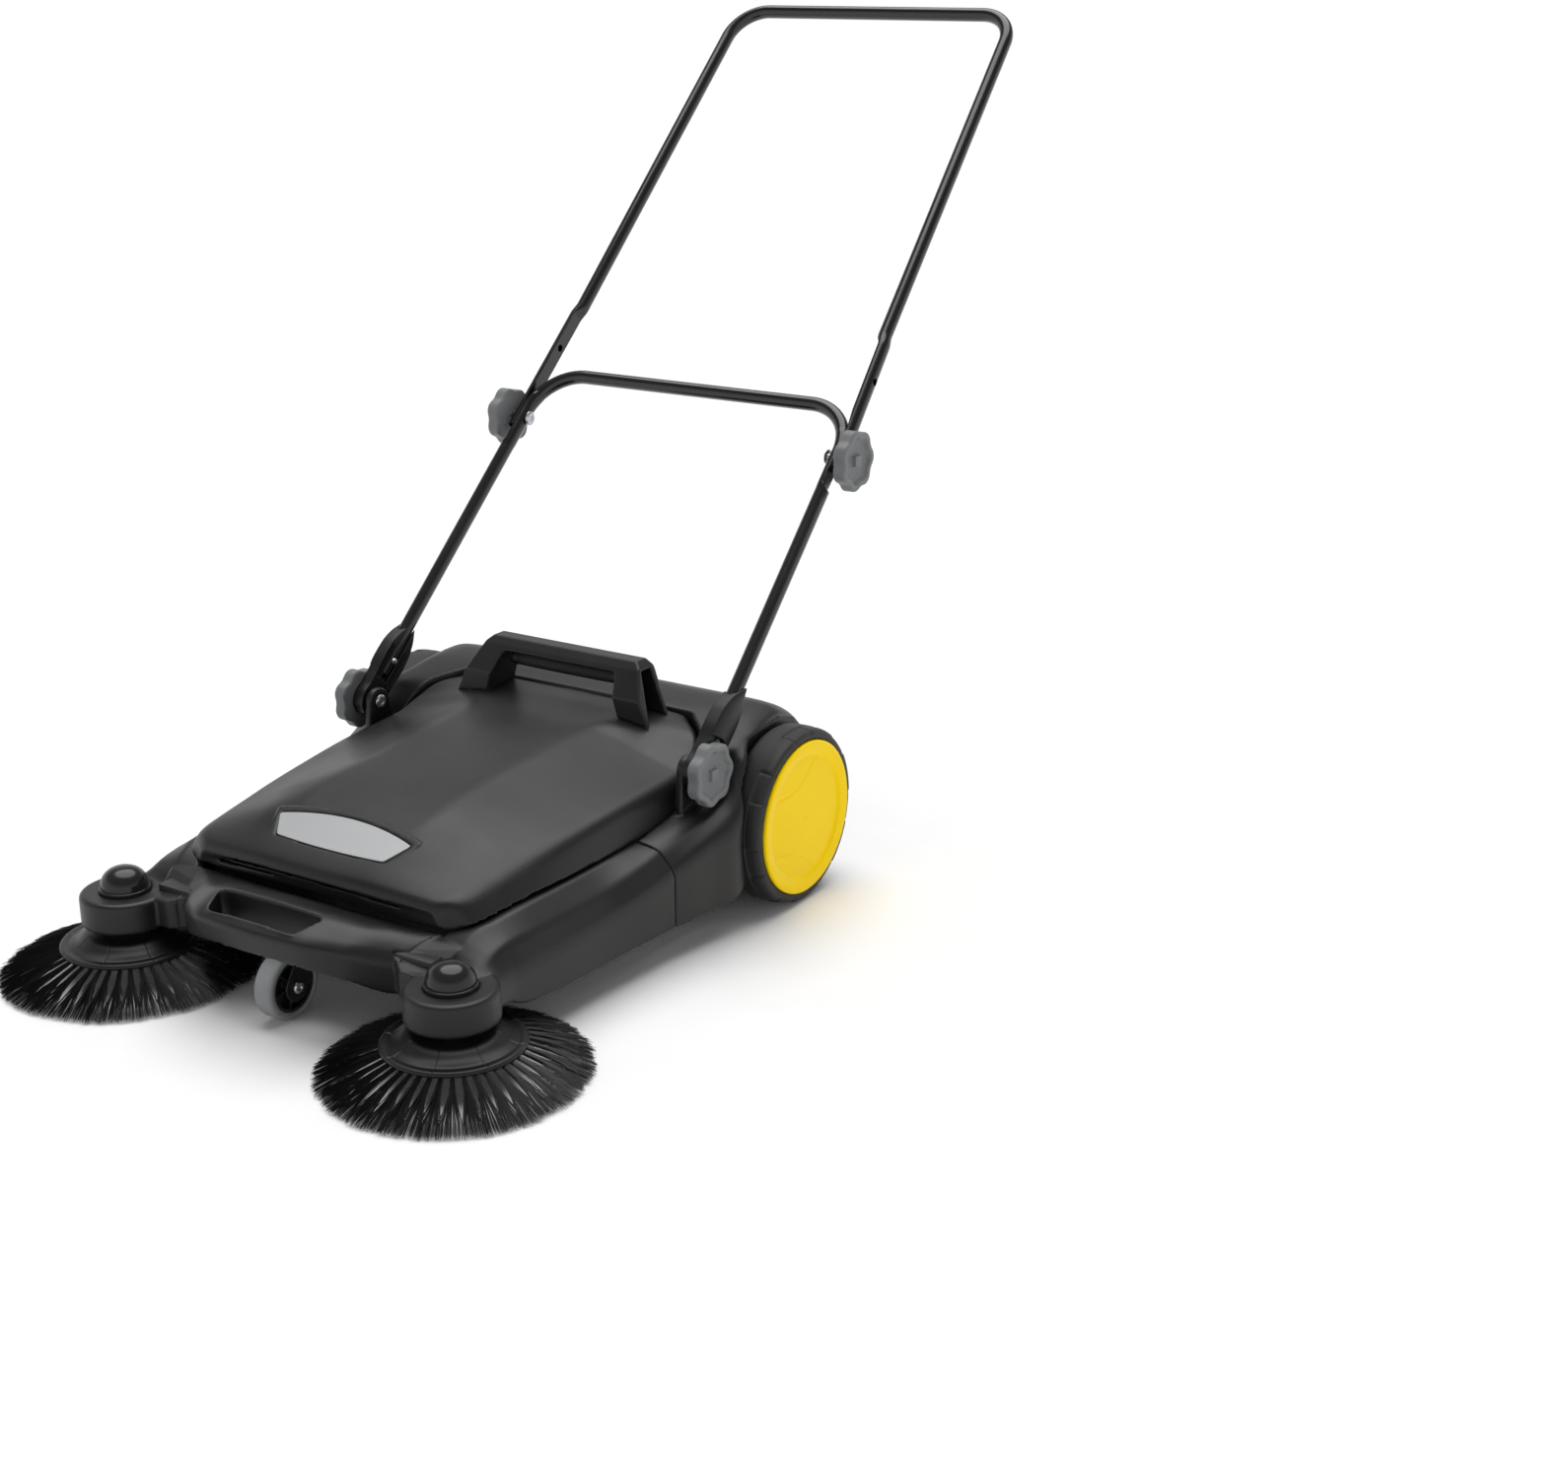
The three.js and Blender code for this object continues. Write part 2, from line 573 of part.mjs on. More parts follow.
function domeCap() {
  const { bossTop, x, y } = BRUSH;
  const low = bossTop + GAP;
  const height = DOME.top - low;
  const crown = Array.from({ length: 6 }, (_, i) => {
    const angle = (i / 5) * (Math.PI / 2);
    return [DOME.radius * Math.cos(angle) ** 0.7, low + 9 + (height - 9) * Math.sin(angle)];
  });
  crown[5][0] = 0;
  const inside = [[0, low + 12], [17, low + 11], [19, low], [DOME.radius + 1, low]];
  return turnedZ([...inside, ...crown], x, y, 18);
}

function stubAxle() {
  return turnedX(
    [[0, 224], [11, 224], [11, 228.4], [AXLE_RADIUS, 228.4], [AXLE_RADIUS, 271.6], [0, 271.6]],
    0, WHEEL.radius, 14,
  );
}

function rollerBush() {
  const bore = ROLLER.shaft + GAP;
  const profile = [[bore, 225.4], [12, 225.4], [12, 228.4], [9, 228.4], [9, 234.6], [bore, 234.6]];
  return turnedX(profile, ROLLER_Y, ROLLER_Z, 14);
}

function pivotBolt() {
  return turnedX(
    [[0, 203.2], [5.5, 203.6], [8.5, 206], [PIVOT.boltRadius, 206.1], [PIVOT.boltRadius, 240], [0, 240]],
    PIVOT.y, PIVOT.z, 12,
  );
}

// A round belt with a quarter twist: over a pulley on the roller shaft, round one on the spindle.
function brushBelt() {
  const atRoller = arc(ROLLER_Y, ROLLER_Z, BELT.rollerRadius, -90, 90, 8).map(([y, z]) => v(BELT.x, y, z));
  const atSpindle = arc(BRUSH.x, BRUSH.y, BELT.spindleRadius, 0, -180, 8).map(([x, y]) => v(x, y, ROLLER_Z));
  return loft(ringsAlong([...atRoller, ...atSpindle], BELT.radius, 6), true);
}

// Round rings square to a closed path.
function ringsAlong(path, radius, sides) {
  return path.map((point, i) => {
    const before = path[(i + path.length - 1) % path.length];
    const after = path[(i + 1) % path.length];
    const along = after.clone().sub(before).normalize();
    const across = along.clone().cross(v(0.3, 0.2, 1)).normalize();
    const up = across.clone().cross(along);
    return Array.from({ length: sides }, (_, k) => {
      const angle = (k / sides) * 2 * Math.PI;
      return point.clone()
        .addScaledVector(across, radius * Math.cos(angle))
        .addScaledVector(up, radius * Math.sin(angle));
    });
  });
}

// ---- wheels and drive ----------------------------------------------------------------------------
function involute(angle) {
  return Math.tan(angle) - angle;
}

// Gear outline with involute flanks, one tooth centred on angle "phase". "slack" thins each tooth.
function gearOutline(teeth, tip, root, slack, phase) {
  const pitch = (MODULE * teeth) / 2;
  const base = pitch * Math.cos(PRESSURE_ANGLE);
  const halfTooth = Math.PI / (2 * teeth) - slack / 2 / pitch;
  const halfAt = (radius) => {
    const angle = radius > base ? Math.acos(base / radius) : 0;
    return halfTooth + involute(PRESSURE_ANGLE) - involute(angle);
  };
  const radii = [root, pitch, tip];
  const points = [];
  for (let i = 0; i < teeth; i++) {
    const centre = phase + (i / teeth) * 2 * Math.PI;
    const put = (r, angle) => points.push([r * Math.cos(angle), r * Math.sin(angle)]);
    radii.forEach((r) => put(r, centre - halfAt(r)));
    [...radii].reverse().forEach((r) => put(r, centre + halfAt(r)));
  }
  return points;
}

const MESH_ANGLE = Math.atan2(ROLLER_Z - WHEEL.radius, ROLLER_Y);
const RING_PITCH = (MODULE * RING_TEETH) / 2;
const PINION_PITCH = (MODULE * PINION_TEETH) / 2;

function wheelRim() {
  const z = WHEEL.radius;
  const rim = turnedX(
    [
      [AXLE_RADIUS + GAP, 236], [14, 236], [14, 263], [76, 263], [76, 237], [WHEEL.rim, 237],
      [WHEEL.rim, 272], [60, 270], [AXLE_RADIUS + GAP, 270],
    ],
    0, z, WHEEL.facets,
  );
  const [x0, x1] = GEAR_X;
  const blank = turnedX([[50, x0], [80, x0], [80, x1], [50, x1]], 0, z, WHEEL.facets);
  const teeth = gearOutline(RING_TEETH, RING_PITCH + 3.4, RING_PITCH - 2.3, -BACKLASH, MESH_ANGLE);
  const tool = alongX(teeth.map(([y, h]) => [y, h + z]), x0 - 1, x1 + 1);
  return unite(rim, cut(blank, tool));
}

function tyre() {
  const vertex = WHEEL.radius / Math.cos(Math.PI / WHEEL.facets);
  const inner = WHEEL.rim / Math.cos(Math.PI / WHEEL.facets) + GAP;
  return turnedX(
    [
      [inner, WHEEL.inner], [vertex - 5, WHEEL.inner], [vertex - 1, WHEEL.inner + 6],
      [vertex, WHEEL.inner + 14], [vertex, WHEEL.outer - 8], [vertex - 2, WHEEL.outer - 2],
      [vertex - 6, WHEEL.outer], [inner, WHEEL.outer],
    ],
    0, WHEEL.radius, WHEEL.facets,
  );
}

function hubDisc() {
  return turnedX(
    [
      [0, 272.6], [WHEEL.rim, 272.6], [WHEEL.rim, DISC_OUTER - 1.5], [WHEEL.rim - 2, DISC_OUTER],
      [69, DISC_OUTER - 1.5], [66, DISC_OUTER - 4], [30, DISC_OUTER - 2], [0, DISC_OUTER - 2],
    ],
    0, WHEEL.radius, WHEEL.facets,
  );
}

function drivePinion() {
  const teeth = gearOutline(PINION_TEETH, PINION_PITCH + 2.5, PINION_PITCH - 3.3, BACKLASH, MESH_ANGLE);
  const blank = alongX(teeth.map(([y, h]) => [y + ROLLER_Y, h + ROLLER_Z]), GEAR_X[0] + GAP, GEAR_X[1] - GAP);
  return cut(blank, rodX(ROLLER.shaft + GAP, 230, 250, ROLLER_Y, ROLLER_Z, 16));
}

function buildWheels() {
  placePair("wheel_rim", wheelRim(), blackPart);
  placePair("tyre", tyre(), rubber);
  placePair("hub_disc", hubDisc(), yellowPlastic);
  placePair("drive_pinion", drivePinion(), greyPlastic);
}

// ---- roller --------------------------------------------------------------------------------------
function rollerCore() {
  const { core, half, shaft, shaftHalf } = ROLLER;
  return turnedX(
    [
      [0, -shaftHalf], [shaft, -shaftHalf], [shaft, -half - 4], [core, -half - 4],
      [core, half + 4], [shaft, half + 4], [shaft, shaftHalf], [0, shaftHalf],
    ],
    ROLLER_Y, ROLLER_Z, 18,
  );
}

// Bristle rows standing on a thin sleeve, each row a gentle V along the roller.
function rollerBristles() {
  const { radius, core, half, rows } = ROLLER;
  const sleeve = core / Math.cos(Math.PI / 18) + 2.6;
  const halfRow = 4;
  const steps = 8;
  const twist = THREE.MathUtils.degToRad(36);
  const section = (turn) => {
    const points = [];
    for (let i = 0; i < rows; i++) {
      const centre = turn + (i / rows) * 2 * Math.PI;
      const put = (r, angle) => points.push([r * Math.cos(centre + angle), r * Math.sin(centre + angle)]);
      put(sleeve, -halfRow / sleeve);
      put(radius, -halfRow / radius);
      put(radius, halfRow / radius);
      put(sleeve, halfRow / sleeve);
      put(sleeve, Math.PI / rows);
    }
    return points;
  };
  const rings = Array.from({ length: steps + 1 }, (_, i) => {
    const x = -half + (i / steps) * 2 * half;
    return section((Math.abs(x) / half) * twist).map(([y, z]) => v(x, y + ROLLER_Y, z + ROLLER_Z));
  });
  const coreRoom = rodX(core / Math.cos(Math.PI / 18) + GAP, -half - 1, half + 1, ROLLER_Y, ROLLER_Z, 18);
  return cut(loft(rings), coreRoom);
}

function beltPulley() {
  const bore = ROLLER.shaft + GAP;
  const groove = BELT.rollerRadius - BELT.radius - 0.7;
  return turnedX(
    [
      [bore, 206.5], [16.6, 206.5], [16.6, 208.3], [groove, 210],
      [groove, 215], [16.6, 216.7], [16.6, 218.5], [bore, 218.5],
    ],
    ROLLER_Y, ROLLER_Z, 14,
  );
}

function buildRoller() {
  place("roller_core", rollerCore(), greyPlastic);
  place("roller_bristles", rollerBristles(), bristle);
  placePair("belt_pulley", beltPulley(), greyPlastic);
}

// ---- side brushes ----------------------------------------------------------------------------------
function brushSpindle() {
  const groove = BELT.spindleRadius - BELT.radius - 0.7;
  const z = ROLLER_Z;
  return turnedZ(
    [
      [0, 47.5], [9, 47.5], [9, 60], [18.6, 60], [18.6, z - 4.2], [groove, z - 2.5], [groove, z + 2.5],
      [18.6, z + 4.2], [18.6, z + 7], [8, z + 7], [AXLE_RADIUS - GAP, z + 8],
      [AXLE_RADIUS - GAP, 95], [0, 95],
    ],
    BRUSH.x, BRUSH.y, 14,
  );
}

function brushDisc() {
  const { rim, rimZ } = BRUSH;
  return turnedZ(
    [
      [0, 47], [30, 46], [46, 43.5], [rim - 3, rimZ + 4], [rim, rimZ],
      [rim - 1, rimZ - 3], [rim - 5, rimZ - 1], [44, 39.5], [0, 43],
    ],
    BRUSH.x, BRUSH.y, 24,
  );
}

function brushBristles() {
  const { rim, rimZ, tip } = BRUSH;
  return turnedZ(
    [
      [46, 38], [rim - 6, rimZ - 1.8], [rim - 1, rimZ - 3.8],
      [tip, 3.5], [tip - 1.5, 0], [tip - 14, 0], [44, 33],
    ],
    BRUSH.x, BRUSH.y, 28,
  );
}

function buildSideBrushes() {
  placePair("brush_spindle", brushSpindle(), greyPlastic);
  placePair("brush_disc", brushDisc(), blackPart);
  placePair("brush_bristles", brushBristles(), bristle);
}

// ---- front castor ------------------------------------------------------------------------------------
function casterFork() {
  const { radius, half, y, swivelY } = CASTER;
  const top = radius * 2;
  const crown = box([-half - 4, half + 4], [swivelY - 16, swivelY + 11], [top + 1.2, top + 4.6]);
  const stem = rodZ(5, radius * 2 + 3, BEAM.z[1] + 5, 0, swivelY, 16);
  const side = [
    [swivelY + 11, radius * 2 + 3], [swivelY - 16, radius * 2 + 3], ...arc(y, radius, 15, 150, 330, 8),
  ];
  const legs = [1, -1].map((hand) => {
    const span = [hand * (half + 1), hand * (half + 4)].sort((a, b) => a - b);
    return alongX(side, span[0], span[1]);
  });
  return cut(unite(crown, stem, ...legs), rodX(4 + GAP, -20, 20, y, radius, 12));
}

function casterAxle() {
  const { y, radius, half } = CASTER;
  const end = half + 4.4;
  return turnedX(
    [[0, -end - 3], [6, -end - 2.5], [6, -end], [4, -end], [4, end], [6, end], [6, end + 2.5], [0, end + 3]],
    y, radius, 14,
  );
}

function casterTyre() {
  const { y, radius, half } = CASTER;
  const outer = radius / Math.cos(Math.PI / 24);
  return turnedX(
    [
      [26.5, -half], [outer - 3, -half], [outer, -half + 3],
      [outer, half - 3], [outer - 3, half], [26.5, half],
    ],
    y, radius, 24,
  );
}

function casterHub() {
  const { y, radius, half } = CASTER;
  return turnedX(
    [[4 + GAP, -half], [9, -half], [10, -3], [22, -3], [22, -half + 1], [25.6, -half + 1], [25.6, half - 1],
      [22, half - 1], [22, 3], [10, 3], [9, half], [4 + GAP, half]],
    y, radius, 16,
  );
}

function buildCaster() {
  place("caster_fork", casterFork(), blackPart);
  place("caster_axle", casterAxle(), steel);
  place("caster_tyre", casterTyre(), greyRubber);
  place("caster_hub", casterHub(), blackPart);
}

// ---- folding handle --------------------------------------------------------------------------------
// Centre line of one half of a U-shaped tube: from the foot up the leg and round the bend to the top bar.
function handlePath(foot, corner, bend, bendSteps) {
  const legAngle = Math.atan2(foot.x - corner.x, corner.z - foot.z);
  const setBack = bend * Math.tan((Math.PI / 2 - legAngle) / 2);
  const startX = corner.x + setBack * Math.sin(legAngle);
  const startZ = corner.z - setBack * Math.cos(legAngle);
  const centreX = startX - bend * Math.cos(legAngle);
  const centreZ = startZ - bend * Math.sin(legAngle);
  const half = [foot];
  for (let i = 0; i <= bendSteps; i++) {
    const angle = legAngle + (i / bendSteps) * (Math.PI / 2 - legAngle);
    half.push(v(centreX + bend * Math.cos(angle), 0, centreZ + bend * Math.sin(angle)));
  }
  return half;
}

// "inner" and "outer" are how far a pressed section reaches from its centre line on each side.
function sectionRing(point, along, halfX, halfY, inner = halfX, outer = halfX) {
  const across = v(0, 1, 0).cross(along).normalize();
  const sides = 10;
  return Array.from({ length: sides }, (_, k) => {
    const angle = ((k + 0.5) / sides) * 2 * Math.PI;
    const px = THREE.MathUtils.clamp(Math.cos(angle) * halfX, -inner, outer);
    return point.clone().addScaledVector(across, px).add(v(0, Math.sin(angle) * halfY, 0));
  });
}

// Stations from one foot to the other; each has its section half sizes.
function tubeBody(stations, wall) {
  const mirrored = stations.map((s) => ({ ...s, point: v(-s.point.x, 0, s.point.z) })).reverse();
  const all = [...stations, ...mirrored];
  const rings = all.map((station, i) => {
    const before = all[Math.max(i - 1, 0)].point;
    const after = all[Math.min(i + 1, all.length - 1)].point;
    const along = after.clone().sub(before).normalize();
    const reach = wall && (i === 0 || i === all.length - 1) ? (i ? 3 : -3) : 0;
    const point = station.point.clone().addScaledVector(along, reach);
    const reachIn = (station.inner ?? TUBE.radius) - wall;
    const reachOut = (station.outer ?? TUBE.radius) - wall;
    return sectionRing(point, along, TUBE.radius - wall, station.halfY - wall, reachIn, reachOut);
  });
  return loft(rings);
}

function roundStation(point) {
  return { point, halfY: TUBE.radius };
}

function pressedStation(point, sides) {
  return { point, halfY: PRESSED_HALF_WIDTH, ...sides };
}

// Half width of the lower handle at a height above its pivot: the legs lean inwards towards the top.
function lowerLegX(z) {
  return LOWER.footHalf - (LOWER.footHalf - LOWER.topHalf) * (z / LOWER.length);
}

function boltHole(x, z, reach) {
  return rodX(PIVOT.boltRadius + GAP, x - reach, x + reach, 0, z, 12);
}

function lowerTube() {
  const foot = v(lowerLegX(LOWER.foot), 0, LOWER.foot);
  const corner = v(LOWER.topHalf, 0, LOWER.length);
  const [, bendStart, bendNext, ...bendRest] = handlePath(foot, corner, LOWER.bend, 4);
  const legPoint = (z) => v(lowerLegX(z), 0, z);
  const pressed = [legPoint(LOWER_PRESS.low), legPoint(LOWER_PRESS.high), bendStart, bendNext];
  const stations = [
    roundStation(foot), roundStation(legPoint(LOWER_PRESS.end)),
    ...pressed.map((point) => pressedStation(point, { outer: FACE_X.lower - point.x })),
    ...bendRest.map(roundStation),
  ];
  const holes = [1, -1].map((hand) => boltHole(hand * lowerLegX(LOWER.joint), LOWER.joint, 14));
  return cut(tubeBody(stations, 0), tubeBody(stations, TUBE.wall), ...holes);
}

function upperTube() {
  const taper = (UPPER.footHalf - UPPER.topHalf) / UPPER.length;
  const corner = v(UPPER.topHalf, 0, UPPER.length);
  const foot = v(UPPER.footHalf - taper * UPPER_PRESS.end, 0, UPPER_PRESS.end);
  const { footX, highX, high } = UPPER_PRESS;
  const pressedX = (z) => footX + ((highX - footX) * z) / high;
  const flats = [-UPPER_PRESS.tail, UPPER_PRESS.flat].map((z) =>
    pressedStation(v(pressedX(z), 0, z), { inner: pressedX(z) - FACE_X.upper }));
  const deeps = [UPPER_PRESS.low, UPPER_PRESS.high].map((z) =>
    pressedStation(v(pressedX(z), 0, z), { inner: FACE_X.deep }));
  const stations = [...flats, ...deeps, ...handlePath(foot, corner, UPPER.bend, 4).map(roundStation)];
  const bores = [0, UPPER_PRESS.hole].flatMap((z) =>
    [1, -1].map((hand) => boltHole(hand * pressedX(z), z, 14)));
  return cut(tubeBody(stations, 0), tubeBody(stations, TUBE.wall), ...bores);
}

// Leaf-shaped bracket that holds the foot of the lower tube and turns on the pivot bolt.
function pivotBracket() {
  const leaf = [
    ...arc(0, 0, 19, 205, 335, 6), [19, 30], [18, 62], [9, 92], [1, 103], [-8, 96], [-19, 66], [-20, 34],
  ];
  const body = alongX(leaf, BRACKET_X[0], BRACKET_X[1]);
  const room = TUBE.radius + 0.7;
  const legLine = v(lowerLegX(LOWER.length) - lowerLegX(0), 0, LOWER.length).normalize();
  const tubeRoom = loft([30, 60, 110].map((z) => sectionRing(v(lowerLegX(z), 0, z), legLine, room, room)));
  const knobSeat = rodX(KNOB.radius + 6, KNOB_PIVOT_X - GAP, 250, 0, 0, 28);
  const pockets = [[9.6, 15.6], [-15.6, -9.6]].map(([a, b]) =>
    alongX([[a, 24], [b, 24], [b, 62], [a, 62]], BRACKET_X[0] - 1, BRACKET_X[1] - 4));
  const innerSide = alongX([[-6, 26], [6, 26], [6, 112], [-6, 112]], BRACKET_X[0] - 1, 222);
  const bore = rodX(PIVOT.boltRadius + GAP, 210, 240, 0, 0, 12);
  return cut(body, tubeRoom, knobSeat, innerSide, bore, ...pockets);
}

function jointBolt() {
  const inner = lowerLegX(LOWER.joint) - TUBE.radius;
  return turnedX(
    [[0, inner - 5], [6, inner - 4], [8.5, inner - GAP - 0.4], [PIVOT.boltRadius, inner - GAP],
      [PIVOT.boltRadius, KNOB_JOINT_X + 9], [0, KNOB_JOINT_X + 9]],
    0, LOWER.joint, 12,
  );
}

// Star knob with its blind bolt hole towards the machine; its inner face is at local x = 0.
function starKnob() {
  const steps = KNOB.lobes * 5;
  const outline = Array.from({ length: steps }, (_, i) => {
    const angle = (i / steps) * 2 * Math.PI;
    const radius = KNOB.radius - KNOB.lobe + KNOB.lobe * Math.cos(KNOB.lobes * angle);
    return [radius * Math.cos(angle), radius * Math.sin(angle)];
  });
  const body = alongX(outline, 0, KNOB.thick);
  const dish = rodX(KNOB.dishRadius, KNOB.thick - KNOB.dish, KNOB.thick + 1, 0, 0, 20);
  return cut(body, dish, rodX(PIVOT.boltRadius + GAP, -2, 9.4, 0, 0, 12));
}

// A handle frame: a tilted group with a right and a mirrored left half.
function handleFrame(y, z, lean) {
  const frame = new THREE.Group();
  frame.position.set(0, y, z);
  frame.rotation.x = -lean;
  const right = new THREE.Group();
  const left = new THREE.Group();
  left.scale.x = -1;
  frame.add(right, left);
  machine.add(frame);
  return { frame, right, left };
}

function placeKnobs(name, x, z, sides) {
  for (const side of ["right", "left"]) {
    const seat = new THREE.Group();
    seat.position.set(x, 0, z);
    sides[side].add(seat);
    place(`${name}_${side}`, starKnob(), greyPlastic, seat);
  }
}

function bracketRivet() {
  const x = lowerLegX(RIVET_Z) - TUBE.radius;
  return turnedX([[0, x - 3], [3.2, x - 2.4], [4, x - 0.6], [0, x - 0.6]], 0, RIVET_Z, 10);
}

function buildHandles() {
  const lower = handleFrame(PIVOT.y, PIVOT.z, LOWER_LEAN);
  place("lower_tube", lowerTube(), tubePaint, lower.frame);
  placePair("pivot_bracket", pivotBracket(), blackPart, lower.right, lower.left);
  placePair("bracket_rivet", bracketRivet(), steel, lower.right, lower.left);
  placePair("joint_bolt", jointBolt(), steel, lower.right, lower.left);
  placeKnobs("pivot_knob", KNOB_PIVOT_X, 0, lower);
  placeKnobs("joint_knob", KNOB_JOINT_X, LOWER.joint, lower);
  const upper = handleFrame(JOINT_Y, JOINT_Z, UPPER_LEAN);
  place("upper_tube", upperTube(), tubePaint, upper.frame);
}

buildContainer();
buildChassis();
buildWheels();
buildRoller();
buildSideBrushes();
buildCaster();
buildHandles();

export default sweeper;
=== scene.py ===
"""A hand-pushed floor sweeper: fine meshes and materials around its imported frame.

Shapes are written in millimetres in the machine's own frame, whose y starts at the wheel axle.
Mesh functions turn them into metres in the row frame.
"""

import json
import math

import bmesh
import bpy
import numpy as np
from mathutils import Matrix, Vector


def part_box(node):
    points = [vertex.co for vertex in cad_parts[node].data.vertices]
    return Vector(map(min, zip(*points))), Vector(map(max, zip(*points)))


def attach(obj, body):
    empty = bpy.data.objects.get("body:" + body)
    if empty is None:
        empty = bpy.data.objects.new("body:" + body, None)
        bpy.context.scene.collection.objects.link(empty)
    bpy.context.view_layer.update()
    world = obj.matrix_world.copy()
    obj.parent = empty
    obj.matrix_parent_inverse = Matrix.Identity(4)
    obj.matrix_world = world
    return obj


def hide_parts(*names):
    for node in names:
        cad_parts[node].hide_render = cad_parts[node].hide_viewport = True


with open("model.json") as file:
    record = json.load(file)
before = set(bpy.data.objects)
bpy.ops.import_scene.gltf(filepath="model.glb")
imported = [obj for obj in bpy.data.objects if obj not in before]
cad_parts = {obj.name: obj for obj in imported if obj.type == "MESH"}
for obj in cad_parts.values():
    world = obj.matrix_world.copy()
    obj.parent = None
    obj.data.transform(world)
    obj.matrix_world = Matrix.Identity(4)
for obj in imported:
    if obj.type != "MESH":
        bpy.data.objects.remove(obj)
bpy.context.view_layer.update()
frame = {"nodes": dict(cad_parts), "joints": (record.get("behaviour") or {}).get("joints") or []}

MM = 0.001
JOINTS = {joint["name"]: joint for joint in frame["joints"]}


def joint_at(name):
    return Vector(JOINTS[name]["pos_m"])


# ---- places taken from the frame, in millimetres ---------------------------
AXLE_Y = joint_at("right_wheel_spin").y / MM
WHEEL_Z = joint_at("right_wheel_spin").z / MM
ROLLER_Y = joint_at("roller_spin").y / MM - AXLE_Y
ROLLER_Z = joint_at("roller_spin").z / MM
BRUSH_X = joint_at("right_brush_spin").x / MM
BRUSH_Y = joint_at("right_brush_spin").y / MM - AXLE_Y
CASTER_Y = joint_at("caster_spin").y / MM - AXLE_Y
CASTER_Z = joint_at("caster_spin").z / MM
PIVOT_Y = joint_at("lower_handle_fold").y / MM - AXLE_Y
PIVOT_Z = joint_at("lower_handle_fold").z / MM
ELBOW_Y = joint_at("upper_handle_fold").y / MM - AXLE_Y
ELBOW_Z = joint_at("upper_handle_fold").z / MM

SHELL = 3.2
GAP = 0.4
SEAM_Y = -205
SIDE_PLATE = 232.5
TUBE_RADIUS = 8
WALL = 1.3
BOLT_HOLE = 4.4
SIDES = {"right": 1, "left": -1}


# ---- mesh helpers ----------------------------------------------------------
def to_row(points):
    """Machine millimetres to row metres."""
    points = np.asarray(points, float)
    return (points + (0, AXLE_Y, 0)) * MM


def make(name, verts, faces, smooth=True):
    mesh = bpy.data.meshes.new(name)
    mesh.from_pydata(to_row(verts).tolist(), [], faces)
    mesh.validate()
    mesh.update()
    obj = bpy.data.objects.new(name, mesh)
    bpy.context.scene.collection.objects.link(obj)
    if smooth:
        mesh.shade_smooth()
    return obj


def loft(name, rings, closed=False, caps=True):
    """A body through rings of equal point count; outward faces are put right by their volume."""
    rings = np.asarray(rings, float)
    rows, count = rings.shape[:2]
    faces = []
    for r in range(rows if closed else rows - 1):
        here, there = r * count, ((r + 1) % rows) * count
        for i in range(count):
            j = (i + 1) % count
            faces.append((here + i, here + j, there + j, there + i))
    if caps and not closed:
        faces.append(tuple(reversed(range(count))))
        faces.append(tuple(range((rows - 1) * count, rows * count)))
    verts = rings.reshape(-1, 3)
    if volume(verts, faces) < 0:
        faces = [tuple(reversed(face)) for face in faces]
    return make(name, verts, faces)


def volume(verts, faces):
    total = 0.0
    for face in faces:
        a = verts[face[0]]
        for i in range(1, len(face) - 1):
            total += np.dot(a, np.cross(verts[face[i]], verts[face[i + 1]]))
    return total


def turned(name, profile, axis, centre, segments=96, ripple=None):
    """A closed turned body from (radius, height) pairs about "x" or "z". ripple(angle, radii, heights)
    may return changed radii and heights at each angle."""
    profile = np.asarray(profile, float)
    rings = []
    for k in range(segments):
        angle = 2 * math.pi * k / segments
        radii, heights = profile.T
        if ripple:
            radii, heights = ripple(angle, radii, heights)
        around = (radii * math.cos(angle), radii * math.sin(angle))
        if axis == "x":
            rings.append(np.stack([heights, *around], -1))
        else:
            rings.append(np.stack([*around, heights], -1))
    obj = loft(name, np.array(rings) + np.asarray(centre, float), closed=True)
    weld(obj)
    return obj


def weld(obj):
    """Joins the points that a turned profile has on its axis."""
    mesh = bmesh.new()
    mesh.from_mesh(obj.data)
    bmesh.ops.remove_doubles(mesh, verts=mesh.verts, dist=1e-6)
    bmesh.ops.dissolve_degenerate(mesh, dist=1e-7, edges=mesh.edges)
    mesh.to_mesh(obj.data)
    mesh.free()


def prism(name, outline, low, high, axis):
    """An outline pushed along an axis: (y, z) pairs along x, or (x, y) pairs along z."""
    ends = []
    for at in (low, high):
        if axis == "x":
            ends.append([(at, a, b) for a, b in outline])
        else:
            ends.append([(a, b, at) for a, b in outline])
    return loft(name, ends)


def circle(centre, radius, start=0, end=360, steps=48):
    angles = np.radians(np.linspace(start, end, steps, endpoint=end - start != 360))
    return [(centre[0] + radius * math.cos(a), centre[1] + radius * math.sin(a)) for a in angles]


def rod(name, radius, low, high, axis, centre, segments=64):
    if axis == "x":
        return prism(name, circle(centre, radius, steps=segments), low, high, "x")
    return prism(name, circle(centre, radius, steps=segments), low, high, "z")


def applied(obj):
    """The object's mesh with its modifiers applied."""
    bpy.context.view_layer.update()
    graph = bpy.context.evaluated_depsgraph_get()
    mesh = bpy.data.meshes.new_from_object(obj.evaluated_get(graph))
    obj.modifiers.clear()
    obj.data = mesh
    return obj


def combine(obj, tools, operation):
    for tool in tools:
        step = obj.modifiers.new(operation, "BOOLEAN")
        step.operation = operation
        step.solver = "MANIFOLD"
        step.object = tool
    applied(obj)
    for tool in tools:
        bpy.data.objects.remove(tool)
    return obj


def cut(obj, *tools):
    return combine(obj, tools, "DIFFERENCE")


def unite(obj, *tools):
    return combine(obj, tools, "UNION")


